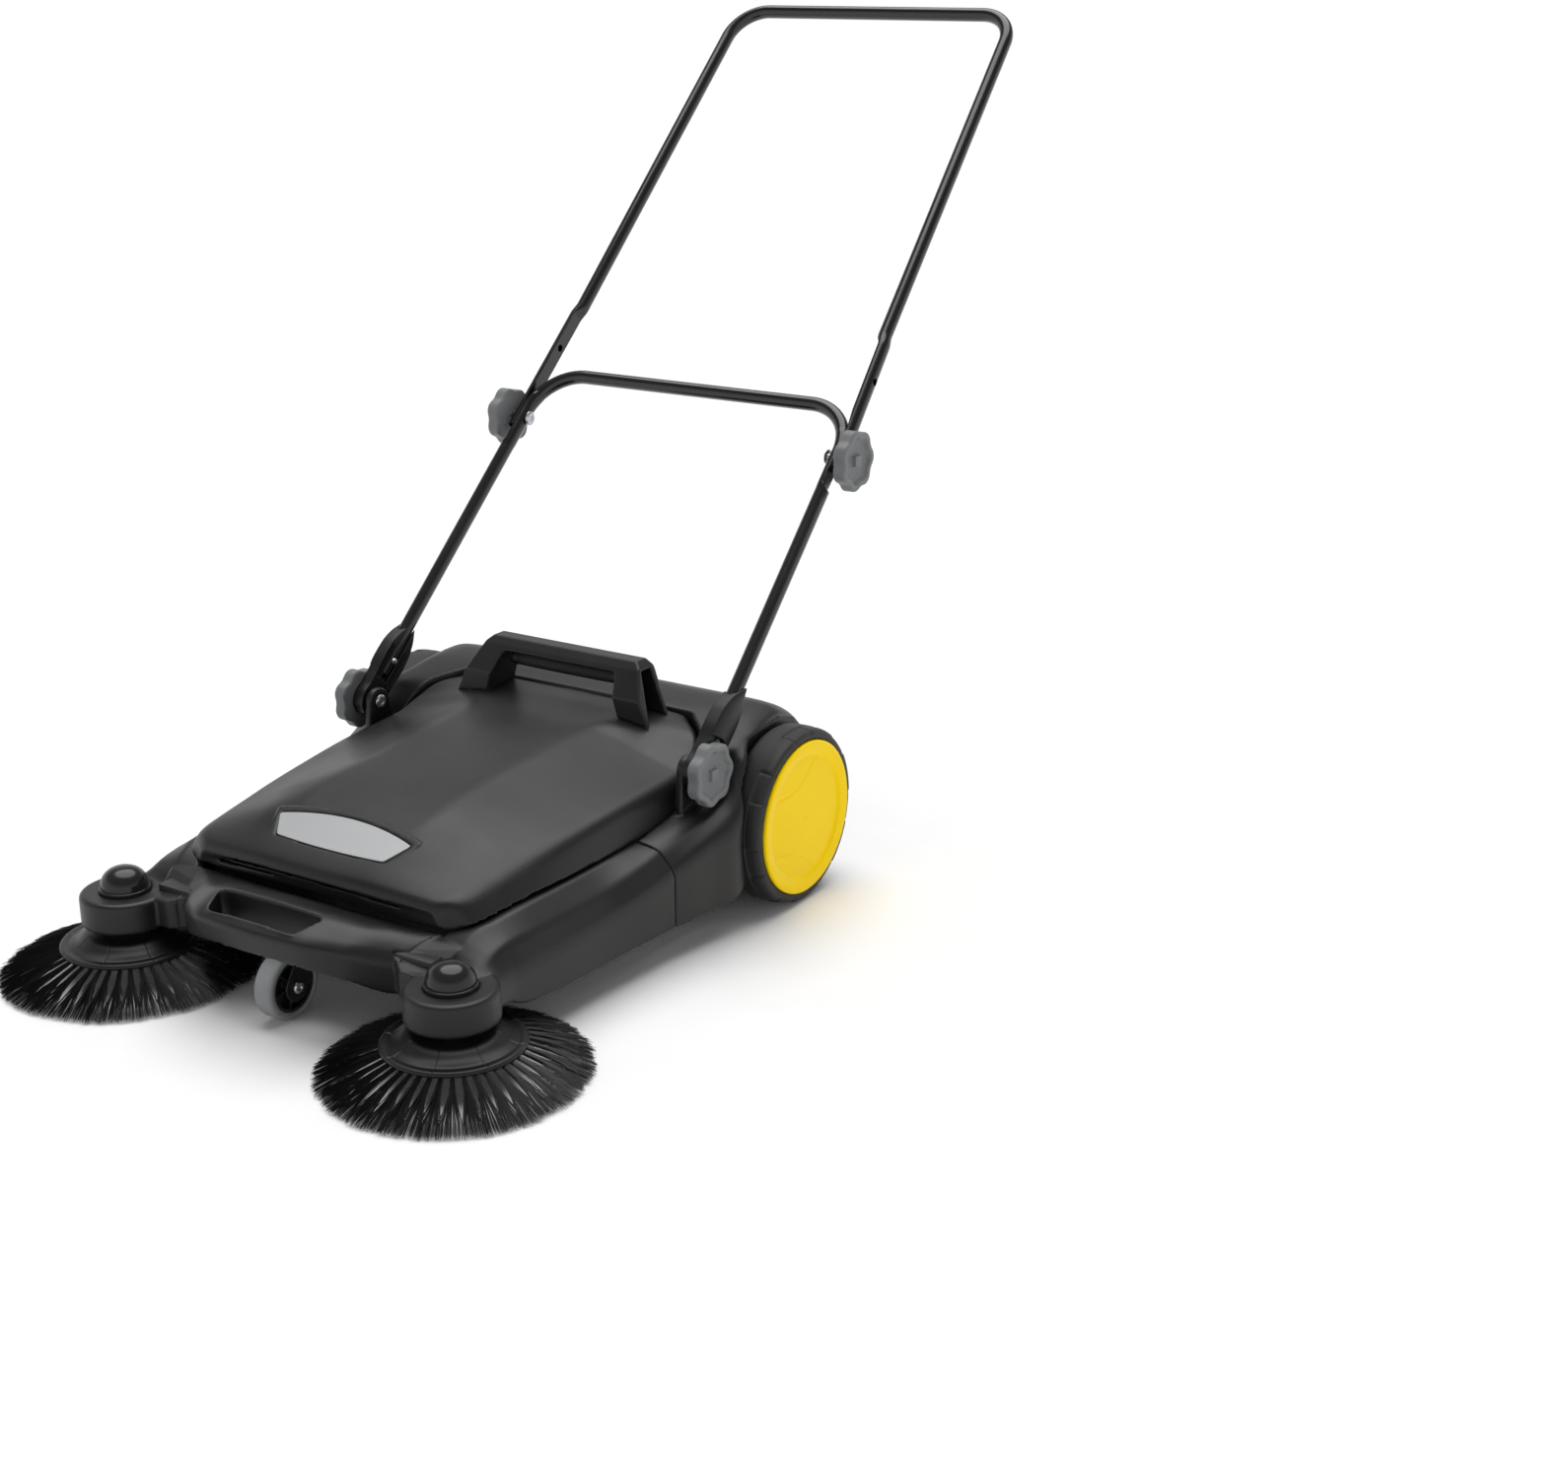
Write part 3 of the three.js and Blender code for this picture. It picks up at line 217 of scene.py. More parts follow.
def moulded(obj, voxel=1.8, rounds=7, keep=0.5):
    """Gives a body the soft edges of a moulding: fine even faces, smoothed, then thinned out."""
    remesh = obj.modifiers.new("even", "REMESH")
    remesh.mode = "VOXEL"
    remesh.voxel_size = voxel * MM
    remesh.use_smooth_shade = True
    soften = obj.modifiers.new("soften", "SMOOTH")
    soften.factor = 0.5
    soften.iterations = rounds
    if keep < 1:
        thin = obj.modifiers.new("thin", "DECIMATE")
        thin.ratio = keep
    applied(obj)
    obj.data.shade_smooth()
    return obj


def crisp(obj, width=0.6, segments=3, angle=35):
    """Rounded edges for a body that keeps its own faces."""
    bevel = obj.modifiers.new("round", "BEVEL")
    bevel.width = width * MM
    bevel.segments = segments
    bevel.limit_method = "ANGLE"
    bevel.angle_limit = math.radians(angle)
    bevel.harden_normals = True
    applied(obj)
    return obj


def copy_of(node, name):
    obj = bpy.data.objects.new(name, frame["nodes"][node].data.copy())
    bpy.context.scene.collection.objects.link(obj)
    return obj


def mirrored(obj, name):
    """The mirror image on the other side of the machine."""
    mesh = obj.data.copy()
    mesh.transform(Matrix.Scale(-1, 4, (1, 0, 0)))
    mesh.flip_normals()
    twin = bpy.data.objects.new(name, mesh)
    bpy.context.scene.collection.objects.link(twin)
    return twin


def joined(name, objects):
    """One object from several, without a boolean."""
    verts, faces, smooth = [], [], []
    for obj in objects:
        start = len(verts)
        verts += [v.co[:] for v in obj.data.vertices]
        faces += [tuple(start + i for i in p.vertices) for p in obj.data.polygons]
        smooth += [p.use_smooth for p in obj.data.polygons]
        bpy.data.objects.remove(obj)
    mesh = bpy.data.meshes.new(name)
    mesh.from_pydata(verts, [], faces)
    mesh.polygons.foreach_set("use_smooth", smooth)
    mesh.update()
    whole = bpy.data.objects.new(name, mesh)
    bpy.context.scene.collection.objects.link(whole)
    return whole


def finished(obj, name, material, slot, body, *nodes):
    """Names a piece, gives it its material, ties it to its body and hides the nodes it stands for."""
    obj.name = name
    obj.data.name = name
    obj.data.materials.clear()
    obj.data.materials.append(material)
    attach(obj, body)
    if nodes:
        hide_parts(*nodes)
    return obj


# ---- curve helpers ---------------------------------------------------------
def eased(positions, rows, at):
    """Rows of values at positions, read at new positions by curves that never overshoot."""
    positions = np.asarray(positions, float)
    rows = np.asarray(rows, float)
    shape = rows.shape[1:]
    rows = rows.reshape(len(positions), -1)
    gaps = np.diff(positions)[:, None]
    rises = np.diff(rows, axis=0) / gaps
    slopes = np.zeros_like(rows)
    before, after = rises[:-1], rises[1:]
    same = before * after > 0
    with np.errstate(divide="ignore", invalid="ignore"):
        mean = 2 * before * after / (before + after)
    slopes[1:-1] = np.where(same, mean, 0)
    slopes[0], slopes[-1] = rises[0], rises[-1]
    at = np.asarray(at, float)
    k = np.clip(np.searchsorted(positions, at, side="right") - 1, 0, len(positions) - 2)
    width = gaps[k]
    t = ((at - positions[k]) / width[:, 0])[:, None]
    value = (
        (1 + 2 * t) * (1 - t) ** 2 * rows[k]
        + t * (1 - t) ** 2 * width * slopes[k]
        + t**2 * (3 - 2 * t) * rows[k + 1]
        + t**2 * (t - 1) * width * slopes[k + 1]
    )
    return value.reshape(len(at), *shape)


def rounded(points, radius, steps=6, closed=False):
    """A polyline whose corners are curves that start "radius" before each corner."""
    points = np.asarray(points, float)
    count = len(points)
    radii = np.full(count, radius, float) if np.isscalar(radius) else np.asarray(radius, float)
    result = [] if closed else [points[0]]
    for i in range(0 if closed else 1, count if closed else count - 1):
        before, here, after = points[i - 1], points[i], points[(i + 1) % count]
        back, ahead = before - here, after - here
        reach = min(radii[i], 0.48 * np.linalg.norm(back), 0.48 * np.linalg.norm(ahead))
        start = here + back / max(np.linalg.norm(back), 1e-9) * reach
        end = here + ahead / max(np.linalg.norm(ahead), 1e-9) * reach
        for u in np.linspace(0, 1, steps):
            result.append((1 - u) ** 2 * start + 2 * u * (1 - u) * here + u**2 * end)
    if not closed:
        result.append(points[-1])
    return np.array(result)


def arch(y, half, radii):
    """A symmetric ring at one y from a half profile of (x, z) pairs, centre first, foot last."""
    right = rounded(half, radii)
    right[:, 0] = np.maximum(right[:, 0], 0)
    ring = [(x, y, z) for x, z in right]
    return ring + [(-x, y, z) for x, z in right[:0:-1]]


def span(low, high, step):
    return np.linspace(low, high, max(2, int(round((high - low) / step)) + 1))


# ---- container cover -------------------------------------------------------
# Half profiles of the bonnet: centre, panel edge above, panel edge below, ridge, lip.
COVER_STATIONS = [
    (-455, [(0, 128), (70, 128), (90, 127.5), (150, 126), (156, 112)]),
    (-451, [(0, 136), (70, 136), (92, 135.5), (157, 132.5), (165, 109)]),
    (-443, [(0, 143), (70, 143), (94, 142), (167, 136), (181, 114)]),
    (-430, [(0, 151), (72, 151), (98, 149.5), (172, 138.5), (188, 117)]),
    (-400, [(0, 166), (76, 166), (104, 163), (176, 141.5), (193, 120)]),
    (-365, [(0, 177.5), (80, 177), (106, 170.5), (180, 145), (196.5, 122)]),
    (-330, [(0, 183.5), (76, 183), (94, 178.5), (184, 149), (199, 122.5)]),
    (-270, [(0, 188.5), (74, 188), (92, 182), (189.5, 154.5), (200.5, 122.5)]),
    (-200, [(0, 192.5), (74, 192), (93.5, 186), (194, 160), (201.5, 123.5)]),
    (-115, [(0, 196.5), (78, 196), (95, 191.5), (195.5, 164.5), (201.5, 125.5)]),
    (-85, [(0, 197.8), (90, 197.3), (112, 194.3), (192, 175), (196, 130)]),
    (-60, [(0, 199), (100, 198.5), (124, 196), (180, 189), (183, 143)]),
    (-31, [(0, 200.3), (110, 199.8), (130, 198.3), (148, 196), (151, 152)]),
]
COVER_RADII = [0, 9, 13, 12, 0]
# Each long edge of the badge: half width, height at its ends, height in its middle.
BADGE = {"upper": (85, 5.5, 19), "lower": (69, -20.4, -23), "y": -415, "z": 159.8,
         "slope": math.radians(26.6)}
FRONT_BULGE = {"depth": 9, "half": 172, "from": -380, "to": -450}


def cover_body(name, inset, drop, step=3.0, rise=0.0):
    ys = [y for y, _ in COVER_STATIONS]
    at = span(ys[0], ys[-1], step)
    rings = []
    for y, half in zip(at, eased(ys, [half for _, half in COVER_STATIONS], at)):
        half = half.copy()
        half[:, 0] = np.maximum(half[:, 0] - inset, 0)
        half[:-1, 1] += rise - inset
        half[-1, 1] -= drop
        inner = np.clip(y, ys[0] + inset, ys[-1] - inset)
        rings.append(arch(inner, half, COVER_RADII))
    return loft(name, [bulged(ring) for ring in advancing(rings)])


def advancing(rings):
    """Drops each ring that lies no further back than the one before it."""
    return [r for i, r in enumerate(rings) if i == 0 or r[0][1] > rings[i - 1][0][1] + 1e-6]


def bulged(ring):
    """Bows the bonnet's front edge forward in plan."""
    points = np.array(ring, float)
    start, end = FRONT_BULGE["from"], FRONT_BULGE["to"]
    near = np.clip((points[:, 1] - start) / (end - start), 0, 1)
    bow = np.clip(1 - (points[:, 0] / FRONT_BULGE["half"]) ** 2, 0, 1)
    points[:, 1] -= FRONT_BULGE["depth"] * near ** 2 * bow
    return points


def badge_outline(grow):
    """A plate with bowed long edges and slanted ends, in the badge's own plane."""
    outline = []
    for edge, direction in (("lower", 1), ("upper", -1)):
        half, end, middle = BADGE[edge]
        for t in direction * np.linspace(-1, 1, 25):
            outline.append(((half + grow) * t, middle + (end - middle) * t * t - direction * grow))
    return rounded(outline, 3.5, 4, closed=True)


def badge_prism(name, grow, low, high):
    cos, sin = math.cos(BADGE["slope"]), math.sin(BADGE["slope"])
    rings = []
    for depth in (low, high):
        rings.append([
            (x, BADGE["y"] + v * cos - depth * sin, BADGE["z"] + v * sin + depth * cos)
            for x, v in badge_outline(grow)
        ])
    return loft(name, rings)


def build_container(looks):
    cover = cover_body("cover", 0, 0)
    unite(cover, badge_prism("pad", 8, -8, 0.1))
    cut(cover, badge_prism("recess", 1.1, -1.7, 8), cover_body("hollow", SHELL, 40))
    moulded(cover, 1.4, 4, 0.36)
    finished(cover, "bonnet", looks["shell"], "shell_black", "container", "container_cover")

    plate = crisp(badge_prism("plate", 0, -1.5, 0.9), 0.7, 4)
    finished(plate, "badge", looks["silver"], "badge_silver", "container", "badge_plate")

    carry = moulded(copy_of("carry_handle", "carry"), 1.0, 9, 0.5)
    finished(carry, "carry_arch", looks["shell"], "shell_black", "container", "carry_handle")

    low, high = (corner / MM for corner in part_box("grip_bar"))
    half = high.x
    radius = (high.z - low.z) / 2
    centre = (0, (low.y + high.y) / 2 - AXLE_Y, (low.z + high.z) / 2)
    along = np.linspace(-half, half, 61)
    swell = radius - 0.9 + 0.8 * np.cos(along / half * math.pi / 2) ** 0.6
    swell[[1, 2, -3, -2]] = radius
    profile = [(0, -half), *zip(swell, along), (0, half)]

    def ribbed(angle, radii, heights):
        groove = 0.35 * max(0, math.cos(24 * angle)) * (np.abs(heights) < half * 0.9)
        return radii - groove * (radii > 1), heights

    grip = turned("grip", profile, "x", centre, 192, ribbed)
    finished(grip, "carry_grip", looks["part"], "part_black", "container", "grip_bar")

    tray = moulded(copy_of("container_tray", "tray"), 1.6, 4, 0.2)
    finished(tray, "dirt_tray", looks["part"], "part_black", "container", "container_tray")


# ---- front frame and bumper ------------------------------------------------
# Side channel, front to back: y, inner x, ledge z, lip, upper crease, lower crease, wall x, bottom z.
CHANNEL_STATIONS = [
    (-506, 168, 86, (190, 88), (214, 88), (244, 85), 249, 56),
    (-493, 163.5, 87, (189, 88), (213, 88), (243, 83), 247, 56),
    (-481, 159, 88, (188, 90), (213, 89), (238, 82), 241.5, 56),
    (-466, 157.8, 98, (187, 101), (214, 95), (233.5, 81), 237, 55.5),
    (-454, 160, 106, (188, 109), (215.5, 99.5), (231.5, 80.5), 235, 54),
    (-442, 172, 111, (191, 114.5), (217, 101.5), (231, 80.5), 234, 48),
    (-428, 182, 113.5, (196, 118), (219, 102), (232, 81), 234.5, 43),
    (-380, 182, 117.5, (201, 121), (223, 102), (235, 82.5), 237.5, 39),
    (-300, 182, 117.5, (203, 121.5), (226, 103.5), (239.5, 86), 241.5, 38),
    (-235, 182, 117.5, (203.8, 123.5), (228.6, 113), (244.5, 95.5), 247, 38),
    (SEAM_Y, 182, 117.5, (204, 124), (229, 119), (246.5, 101), 249, 38),
]
BOSS = {"radius": 45, "low": 54.4, "top": 86.6}
BEAM = {"y": (-494, -457), "z": (75.5, 95), "half": 176}


def channel_body(name, inset, step=2.5):
    ys = [row[0] for row in CHANNEL_STATIONS]
    rows = [[row[1], row[2], *row[3], *row[4], *row[5], row[6], row[7]] for row in CHANNEL_STATIONS]
    at = span(ys[0], ys[-1], step)
    rings = []
    for y, row in zip(at, eased(ys, rows, at)):
        inner, ledge, lip_x, lip_z, high_x, high_z, low_x, low_z, wall, bottom = row
        floor = bottom - 20 if inset else bottom
        outer = rounded(
            [
                (inner + inset, ledge - inset), (lip_x - inset * 0.4, lip_z - inset - 2),
                (high_x - inset * 0.4, high_z - inset), (low_x - inset, low_z - inset * 0.4),
                (wall - inset, low_z - 8), (wall - inset, floor),
            ],
            [0, 3, 5, 5, 8, 0],
        )
        ring = [(x, y, z) for x, z in outer] + [(inner + inset, y, floor)]
        rings.append(ring)
    if inset:
        rings.append([(x, SEAM_Y + 5, z) for x, _, z in rings[-1]])
    return loft(name, rings)


def boss_body(name, shrink, low, top):
    radius = BOSS["radius"] - shrink
    profile = rounded(
        [(0, low), (radius - 1, low), (radius, low + 2), (radius, top - 3), (radius - 3, top), (0, top)],
        [0, 2, 2, 3, 3, 0],
    )
    return turned(name, profile, "z", (BRUSH_X, BRUSH_Y, 0), 96)


def brush_arm():
    """One side channel with its boss, hollow underneath."""
    top = BOSS["top"]
    arm = unite(channel_body("arm", 0), boss_body("boss", 0, BOSS["low"], top))
    socket = turned(
        "socket",
        [(0, top - 1.6), (DOME["flange"] + 1, top - 1.6), (DOME["flange"] + 1, top + 9), (0, top + 9)],
        "z", (BRUSH_X, BRUSH_Y, 0),
    )
    cut(
        arm,
        channel_body("channel_room", SHELL),
        boss_body("boss_room", SHELL, BOSS["low"] - 20, top - SHELL),
        rod("bore", 6.2, top - 12, top + 12, "z", (BRUSH_X, BRUSH_Y)),
        socket,
    )
    return arm


def front_beam():
    reach = BEAM["half"]
    beam = prism("beam", [(-reach, BEAM["y"][0]), (reach, BEAM["y"][0]), (reach, BEAM["y"][1]),
                          (-reach, BEAM["y"][1])], *BEAM["z"], "z")
    hollows = [channel_body("beam_room", SHELL), boss_body("beam_boss", SHELL, 30, BOSS["top"] - SHELL)]
    hollows += [mirrored(tool, tool.name + "_left") for tool in hollows]
    swivel_y = joint_at("caster_turn").y / MM - AXLE_Y
    return cut(beam, *hollows, rod("stem_bore", 5.4, 60, 110, "z", (0, swivel_y)))


# Bumper sections across the machine: rear top, crown, finger hole edges, nose crease, chin.
BUMPER_STATIONS = [
    (0, [(-454, 103.5), (-488, 118), (-514, 125.5), (-546, 117.5), (-557, 110), (-554, 85),
         (-500, 85), (-454, 85)]),
    (60, [(-454, 103.5), (-488, 117.5), (-513, 124), (-543, 115.5), (-552.5, 108.5), (-549, 82),
          (-500, 82), (-454, 82)]),
    (100, [(-454, 104.5), (-483, 112.5), (-503, 114), (-523, 107), (-531.5, 100), (-528, 70),
           (-495, 70), (-454, 70)]),
    (135, [(-454, 106), (-468, 105.5), (-480, 102.5), (-493, 95), (-500.5, 87), (-499, 54),
           (-484, 54), (-454, 54)]),
    (150, [(-454, 106.5), (-463, 104.5), (-472, 100.5), (-482, 93), (-489, 87), (-488, 55),
           (-478, 55), (-454, 55)]),
    (157, [(-454, 106.5), (-460, 104), (-467, 99), (-474, 93), (-480, 87), (-479, 56),
           (-470, 56), (-454, 56)]),
]
SLOT = [(-66, -517), (-59, -512.5), (59, -512.5), (66, -517), (56, -541.5), (50, -545),
        (-50, -545), (-56, -541.5)]


def bumper_body(name, inset, step=3.0):
    xs = [-x for x, _ in BUMPER_STATIONS[:0:-1]] + [x for x, _ in BUMPER_STATIONS]
    rows = [side for _, side in BUMPER_STATIONS[:0:-1]] + [side for _, side in BUMPER_STATIONS]
    at = span(xs[0], xs[-1], step)
    rings = []
    for x, side in zip(at, eased(xs, rows, at)):
        side = side.copy()
        if inset:
            side[3:6, 0] += inset
            side[[0, 7], 0] += inset * 2
            side[:5, 1] -= inset
            side[5:, 1] -= inset * 8
        ring = rounded(side, [0, 10, 10, 7, 4, 6, 0, 0], 5)
        rings.append([(x * (1 - inset / 157), y, z) for y, z in ring])
    return loft(name, rings)


# Half of the seam between bumper and arms, seen from above; the bumper lies inside it.
SEAM = [(150, -430), (152, -462), (146, -474), (141, -488), (143, -520), (152, -600)]


def seam_prism(name, grow):
    half = [(x + grow, y) for x, y in SEAM]
    outline = half + [(-x, y) for x, y in reversed(half)]
    return prism(name, rounded(outline, 6, 5, closed=True), 20, 160, "z")


def bumper_shell():
    """The bumper's hollow nose with its finger slot."""
    shell = bumper_body("bumper", 0)
    slot = prism("slot", rounded(SLOT, 7, 6, closed=True), 40, 150, "z")
    room = prism("room", [(-158, BEAM["y"][0] - 1), (158, BEAM["y"][0] - 1), (158, BEAM["y"][1] + 5),
                          (-158, BEAM["y"][1] + 5)], 40, BEAM["z"][1] + 1, "z")
    lining = prism("lining", rounded(SLOT, 7, 6, closed=True), 88, 128, "z")
    collar = prism("collar", rounded([(x * 1.05, -529 + (y + 529) * 1.18) for x, y in SLOT], 8, 6,
                                     closed=True), 88, 128, "z")
    cut(collar, lining, bumper_above("above"))
    cut(shell, bumper_body("inside", SHELL))
    unite(shell, collar)
    return cut(shell, slot, room)


# Corner between bumper and boss, front to back: y, inner x, its height, outer x, its height.
WEB = [(-509, 150, 86.5, 172, 86.5), (-497, 134, 91, 178, 87.5), (-481, 124, 99, 184, 91),
       (-466, 124, 103.5, 186, 100.5), (-456, 124, 104.5, 186, 104)]
WEB_FLOOR = 57


def corner_web():
    """Fills the corner between the bumper's end and the boss with a sloping top."""
    rings = [[(inner, y, WEB_FLOOR), (inner, y, inner_top), (outer, y, outer_top), (outer, y, WEB_FLOOR)]
             for y, inner, inner_top, outer, outer_top in WEB]
    return loft("web", rings)


def build_front(looks):
    """Arms and bumper are shaped as one flowing surface and then parted along a fine seam."""
    arm = unite(brush_arm(), corner_web())
    other = mirrored(arm, "other_arm")
    front = unite(bumper_shell(), arm, other)
    cut(front, cover_body("clear", -1.0, 90, 6.0, 0.6))
    moulded(front, 1.35, 6, 0.34)
    arms = bpy.data.objects.new("arms", front.data.copy())
    bpy.context.scene.collection.objects.link(arms)
    cut(arms, seam_prism("seam_room", GAP))
    combine(front, [seam_prism("seam", 0)], "INTERSECT")
    finished(front, "bumper", looks["shell"], "shell_black", "chassis", "front_bumper")
    arms = joined("arms", [arms, crisp(front_beam(), 0.8)])
    finished(arms, "brush_arms", looks["shell"], "shell_black", "chassis", "front_frame")


def bumper_above(name):
    """The space over the bumper's top face, which trims the collar of its finger slot."""
    xs = [-x for x, _ in BUMPER_STATIONS[:0:-1]] + [x for x, _ in BUMPER_STATIONS]
    rows = [side[:4] for _, side in BUMPER_STATIONS[:0:-1]] + [side[:4] for _, side in BUMPER_STATIONS]
    at = span(xs[0], xs[-1], 6.0)
    rings = []
    for x, top in zip(at, eased(xs, rows, at)):
        line = [(y, z - 1.0) for y, z in top]
        rings.append([(x, y, z) for y, z in [(-440, line[0][1]), *line, (-580, line[-1][1]),
                                             (-580, 200), (-440, 200)]])
    return loft(name, rings)


# ---- rear housing ----------------------------------------------------------
# Housing sections: centre, hood edge, shoulder points, wall top, foot.
HOUSING_STATIONS = [
    (SEAM_Y + GAP, [(0, 124), (150, 124), (203, 124), (229, 119), (246.5, 101), (249, 94), (249, 38)]),
    (-180, [(0, 126), (150, 126), (203, 127), (230, 126), (250, 109), (254, 101), (254, 38)]),
    (-150, [(0, 130), (150, 130), (204, 131), (232, 133), (254, 118), (259, 109), (259, 38.5)]),
    (-115, [(0, 140), (150, 140), (205, 142), (236, 143), (258, 132), (266, 118), (266, 42)]),
    (-101, [(0, 152), (150, 152), (205, 153), (236, 151), (256, 144), (264, 133), (264, 48)]),
    (-88, [(0, 172), (150, 171), (202, 170), (232, 166), (250, 160), (256, 150), (256, 52)]),
    (-70, [(0, 190), (150, 188), (200, 186), (231, 185.5), (245, 180.5), (250, 172), (250, 52)]),
    (-40, [(0, 200), (150, 199), (200, 197), (225, 194.5), (237, 189.5), (240, 181), (240, 46)]),
    (-10, [(0, 206), (150, 206), (196, 205), (216, 203), (229, 197), (SIDE_PLATE, 188),
           (SIDE_PLATE, 37)]),
    (20, [(0, 208.5), (150, 208.5), (195, 208), (213, 206), (227, 199.5), (SIDE_PLATE, 190),
          (SIDE_PLATE, 34)]),
    (50, [(0, 199), (150, 199), (195, 198.5), (213, 196.5), (227, 190), (SIDE_PLATE, 180),
          (SIDE_PLATE, 34)]),
    (75, [(0, 179), (150, 179), (194, 178), (213, 174), (226, 167), (232, 155), (232, 34)]),
    (90, [(0, 153), (150, 153), (193, 151), (212, 147), (225, 140), (231, 128), (231, 34)]),
    (96, [(0, 128), (150, 128), (192, 126), (211, 122), (223, 116), (229, 106), (229, 36)]),
]
HOUSING_RADII = [0, 12, 12, 10, 10, 8, 0]
# Where the hood falls steeply, its inner body also moves forward, so that the wall keeps its thickness.
REAR_FALL = {"start": 30, "length": 35}


def housing_body(name, inset, step=3.0):
    ys = [y for y, _ in HOUSING_STATIONS]
    at = span(ys[0], ys[-1], step)
    rings = []
    for y, half in zip(at, eased(ys, [half for _, half in HOUSING_STATIONS], at)):
        half = half.copy()
        half[:, 0] = np.maximum(half[:, 0] - inset, 0)
        half[:-1, 1] -= inset
        half[-1, 1] -= 20 if inset else 0
        back = inset * min(max((y - REAR_FALL["start"]) / REAR_FALL["length"], 0), 1)
        rings.append(arch(y - back, half, HOUSING_RADII))
    if inset:
        rings = [[(x, ys[0] - 5, z) for x, _, z in rings[0]], *rings]
    return loft(name, advancing(rings))


def wheel_tools(hand):
    """What leaves the end plate open: wheel well, axle, roller shaft and pivot bolt."""
    def across(low, high):
        return sorted((hand * low, hand * high))

    return [
        rod("well", 103.6, *across(SIDE_PLATE, 330), "x", (0, WHEEL_Z), 128),
        rod("axle_bore", 6.4, *across(200, 260), "x", (0, WHEEL_Z)),
        rod("shaft_bore", 9.4, *across(200, 260), "x", (ROLLER_Y, ROLLER_Z)),
        rod("bolt_bore", BOLT_HOLE, *across(190, 230), "x", (PIVOT_Y, PIVOT_Z)),
    ]


BAY_GAP = 0.8


def bay_prism(name, grow):
    """The room that the bonnet takes out of the hood, seen from above."""
    side = [(half[-1][0] + grow, y) for y, half in COVER_STATIONS if y > SEAM_Y - 10]
    side = [(side[0][0], SEAM_Y - 30), *side]
    side[-1] = (side[-1][0], side[-1][1] + grow)
    return prism(name, rounded(side + [(-x, y) for x, y in reversed(side)], 6, 5), -10, 400, "z")


def low_space(name, top):
    return prism(name, [(-300, -700), (300, -700), (300, 200), (-300, 200)], -60, top, "z")


def seam_lip():
    """A dark ledge of the hood under the bonnet's edge, which closes the seam to the light."""
    lip = cover_body("lip", 4.6, 0)
    cut(lip, cover_body("lip_room", 7.0, 40), bay_prism("lip_middle", -9))
    ahead = [(-300, -700), (300, -700), (300, SEAM_Y + 2), (-300, SEAM_Y + 2)]
    return cut(lip, prism("lip_front", ahead, -10, 400, "z"))


def build_housing(looks):
    housing = cut(housing_body("housing", 0), housing_body("housing_room", SHELL))
    cut(housing, bay_prism("bay", BAY_GAP))
    skirt = housing_body("skirt", 0.6)
    cut(skirt, bay_prism("skirt_room", BAY_GAP), low_space("skirt_low", 142))
    combine(skirt, [bay_prism("skirt_edge", BAY_GAP + 2.6)], "INTERSECT")
    plate = [(-106, 42), (-105, 140), (-99, 146), (-72, 181), (-38, 192), (20, 198), (50, 188),
             (75, 164), (92, 120), (92, 36), (-60, 36)]
    ear = circle((PIVOT_Y, PIVOT_Z), 16, 0, 180, 32) + [(PIVOT_Y - 20, 136), (PIVOT_Y + 24, 146)]
    extras = [skirt]
    for hand in SIDES.values():
        faces = sorted((hand * (SIDE_PLATE - SHELL), hand * SIDE_PLATE))
        extras.append(prism("plate", plate, *faces, "x"))
        extras.append(prism("ear", ear, *sorted((hand * 206.5, hand * 215.5)), "x"))
    unite(housing, *extras)
    cut(housing, *[tool for hand in SIDES.values() for tool in wheel_tools(hand)])
    moulded(housing, 1.9, 7, 0.42)
    housing = joined("housing", [housing, seam_lip()])
    finished(housing, "hood", looks["shell"], "shell_black", "chassis", "rear_housing")

    low, high = (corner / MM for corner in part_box("dust_flap"))
    xs = np.linspace(low.x, high.x, 225)
    rings = []
    for x in xs:
        wave = 0.35 * math.sin(x / 9)
        y0, y1 = low.y - AXLE_Y + 0.4, high.y - AXLE_Y - 0.4
        hem = low.z + 0.5 * (1 + math.sin(x / 5))
        rings.append([(x, y0 + wave, hem), (x, y1 + wave, hem), (x, y1, 30), (x, y1, high.z),
                      (x, y0, high.z), (x, y0, 30)])
    flap = loft("flap", rings)
    flap.data.shade_flat()
    finished(flap, "rear_flap", looks["rubber"], "rubber_black", "chassis", "dust_flap")


# ---- dome caps -------------------------------------------------------------
DOME = {"flange": 25.2, "radius": 24, "shoulder": 90.6, "top": 110.9}


def build_domes(looks):
    low = BOSS["top"] - 1.2
    rise = DOME["top"] - DOME["shoulder"]
    crown = [
        (DOME["radius"] * math.cos(a) ** 0.82, DOME["shoulder"] + rise * math.sin(a))
        for a in np.linspace(0, math.pi / 2, 20)
    ]
    crown[-1] = (0, DOME["top"])
    base = rounded([(19, low), (DOME["flange"], low), (DOME["flange"], DOME["shoulder"] - 0.8),
                    (DOME["radius"], DOME["shoulder"] - 0.4)], [0, 0.5, 0.6, 0.3], 4)
    profile = [(0, low + 4), (17, low + 3.4), *base, *crown]
    for side, hand in SIDES.items():
        cap = turned("cap", profile, "z", (hand * BRUSH_X, BRUSH_Y, 0), 96)
        finished(cap, f"dome_{side}", looks["gloss"], "part_black", "chassis", f"dome_cap_{side}")


# ---- wheels ----------------------------------------------------------------
WHEEL = {"radius": 96.6, "rim": 84.4, "inner": 235, "outer": 277.3, "disc": 280.6}
TREAD = {"pairs": 7, "raised": 0.6, "notch": 0.018}


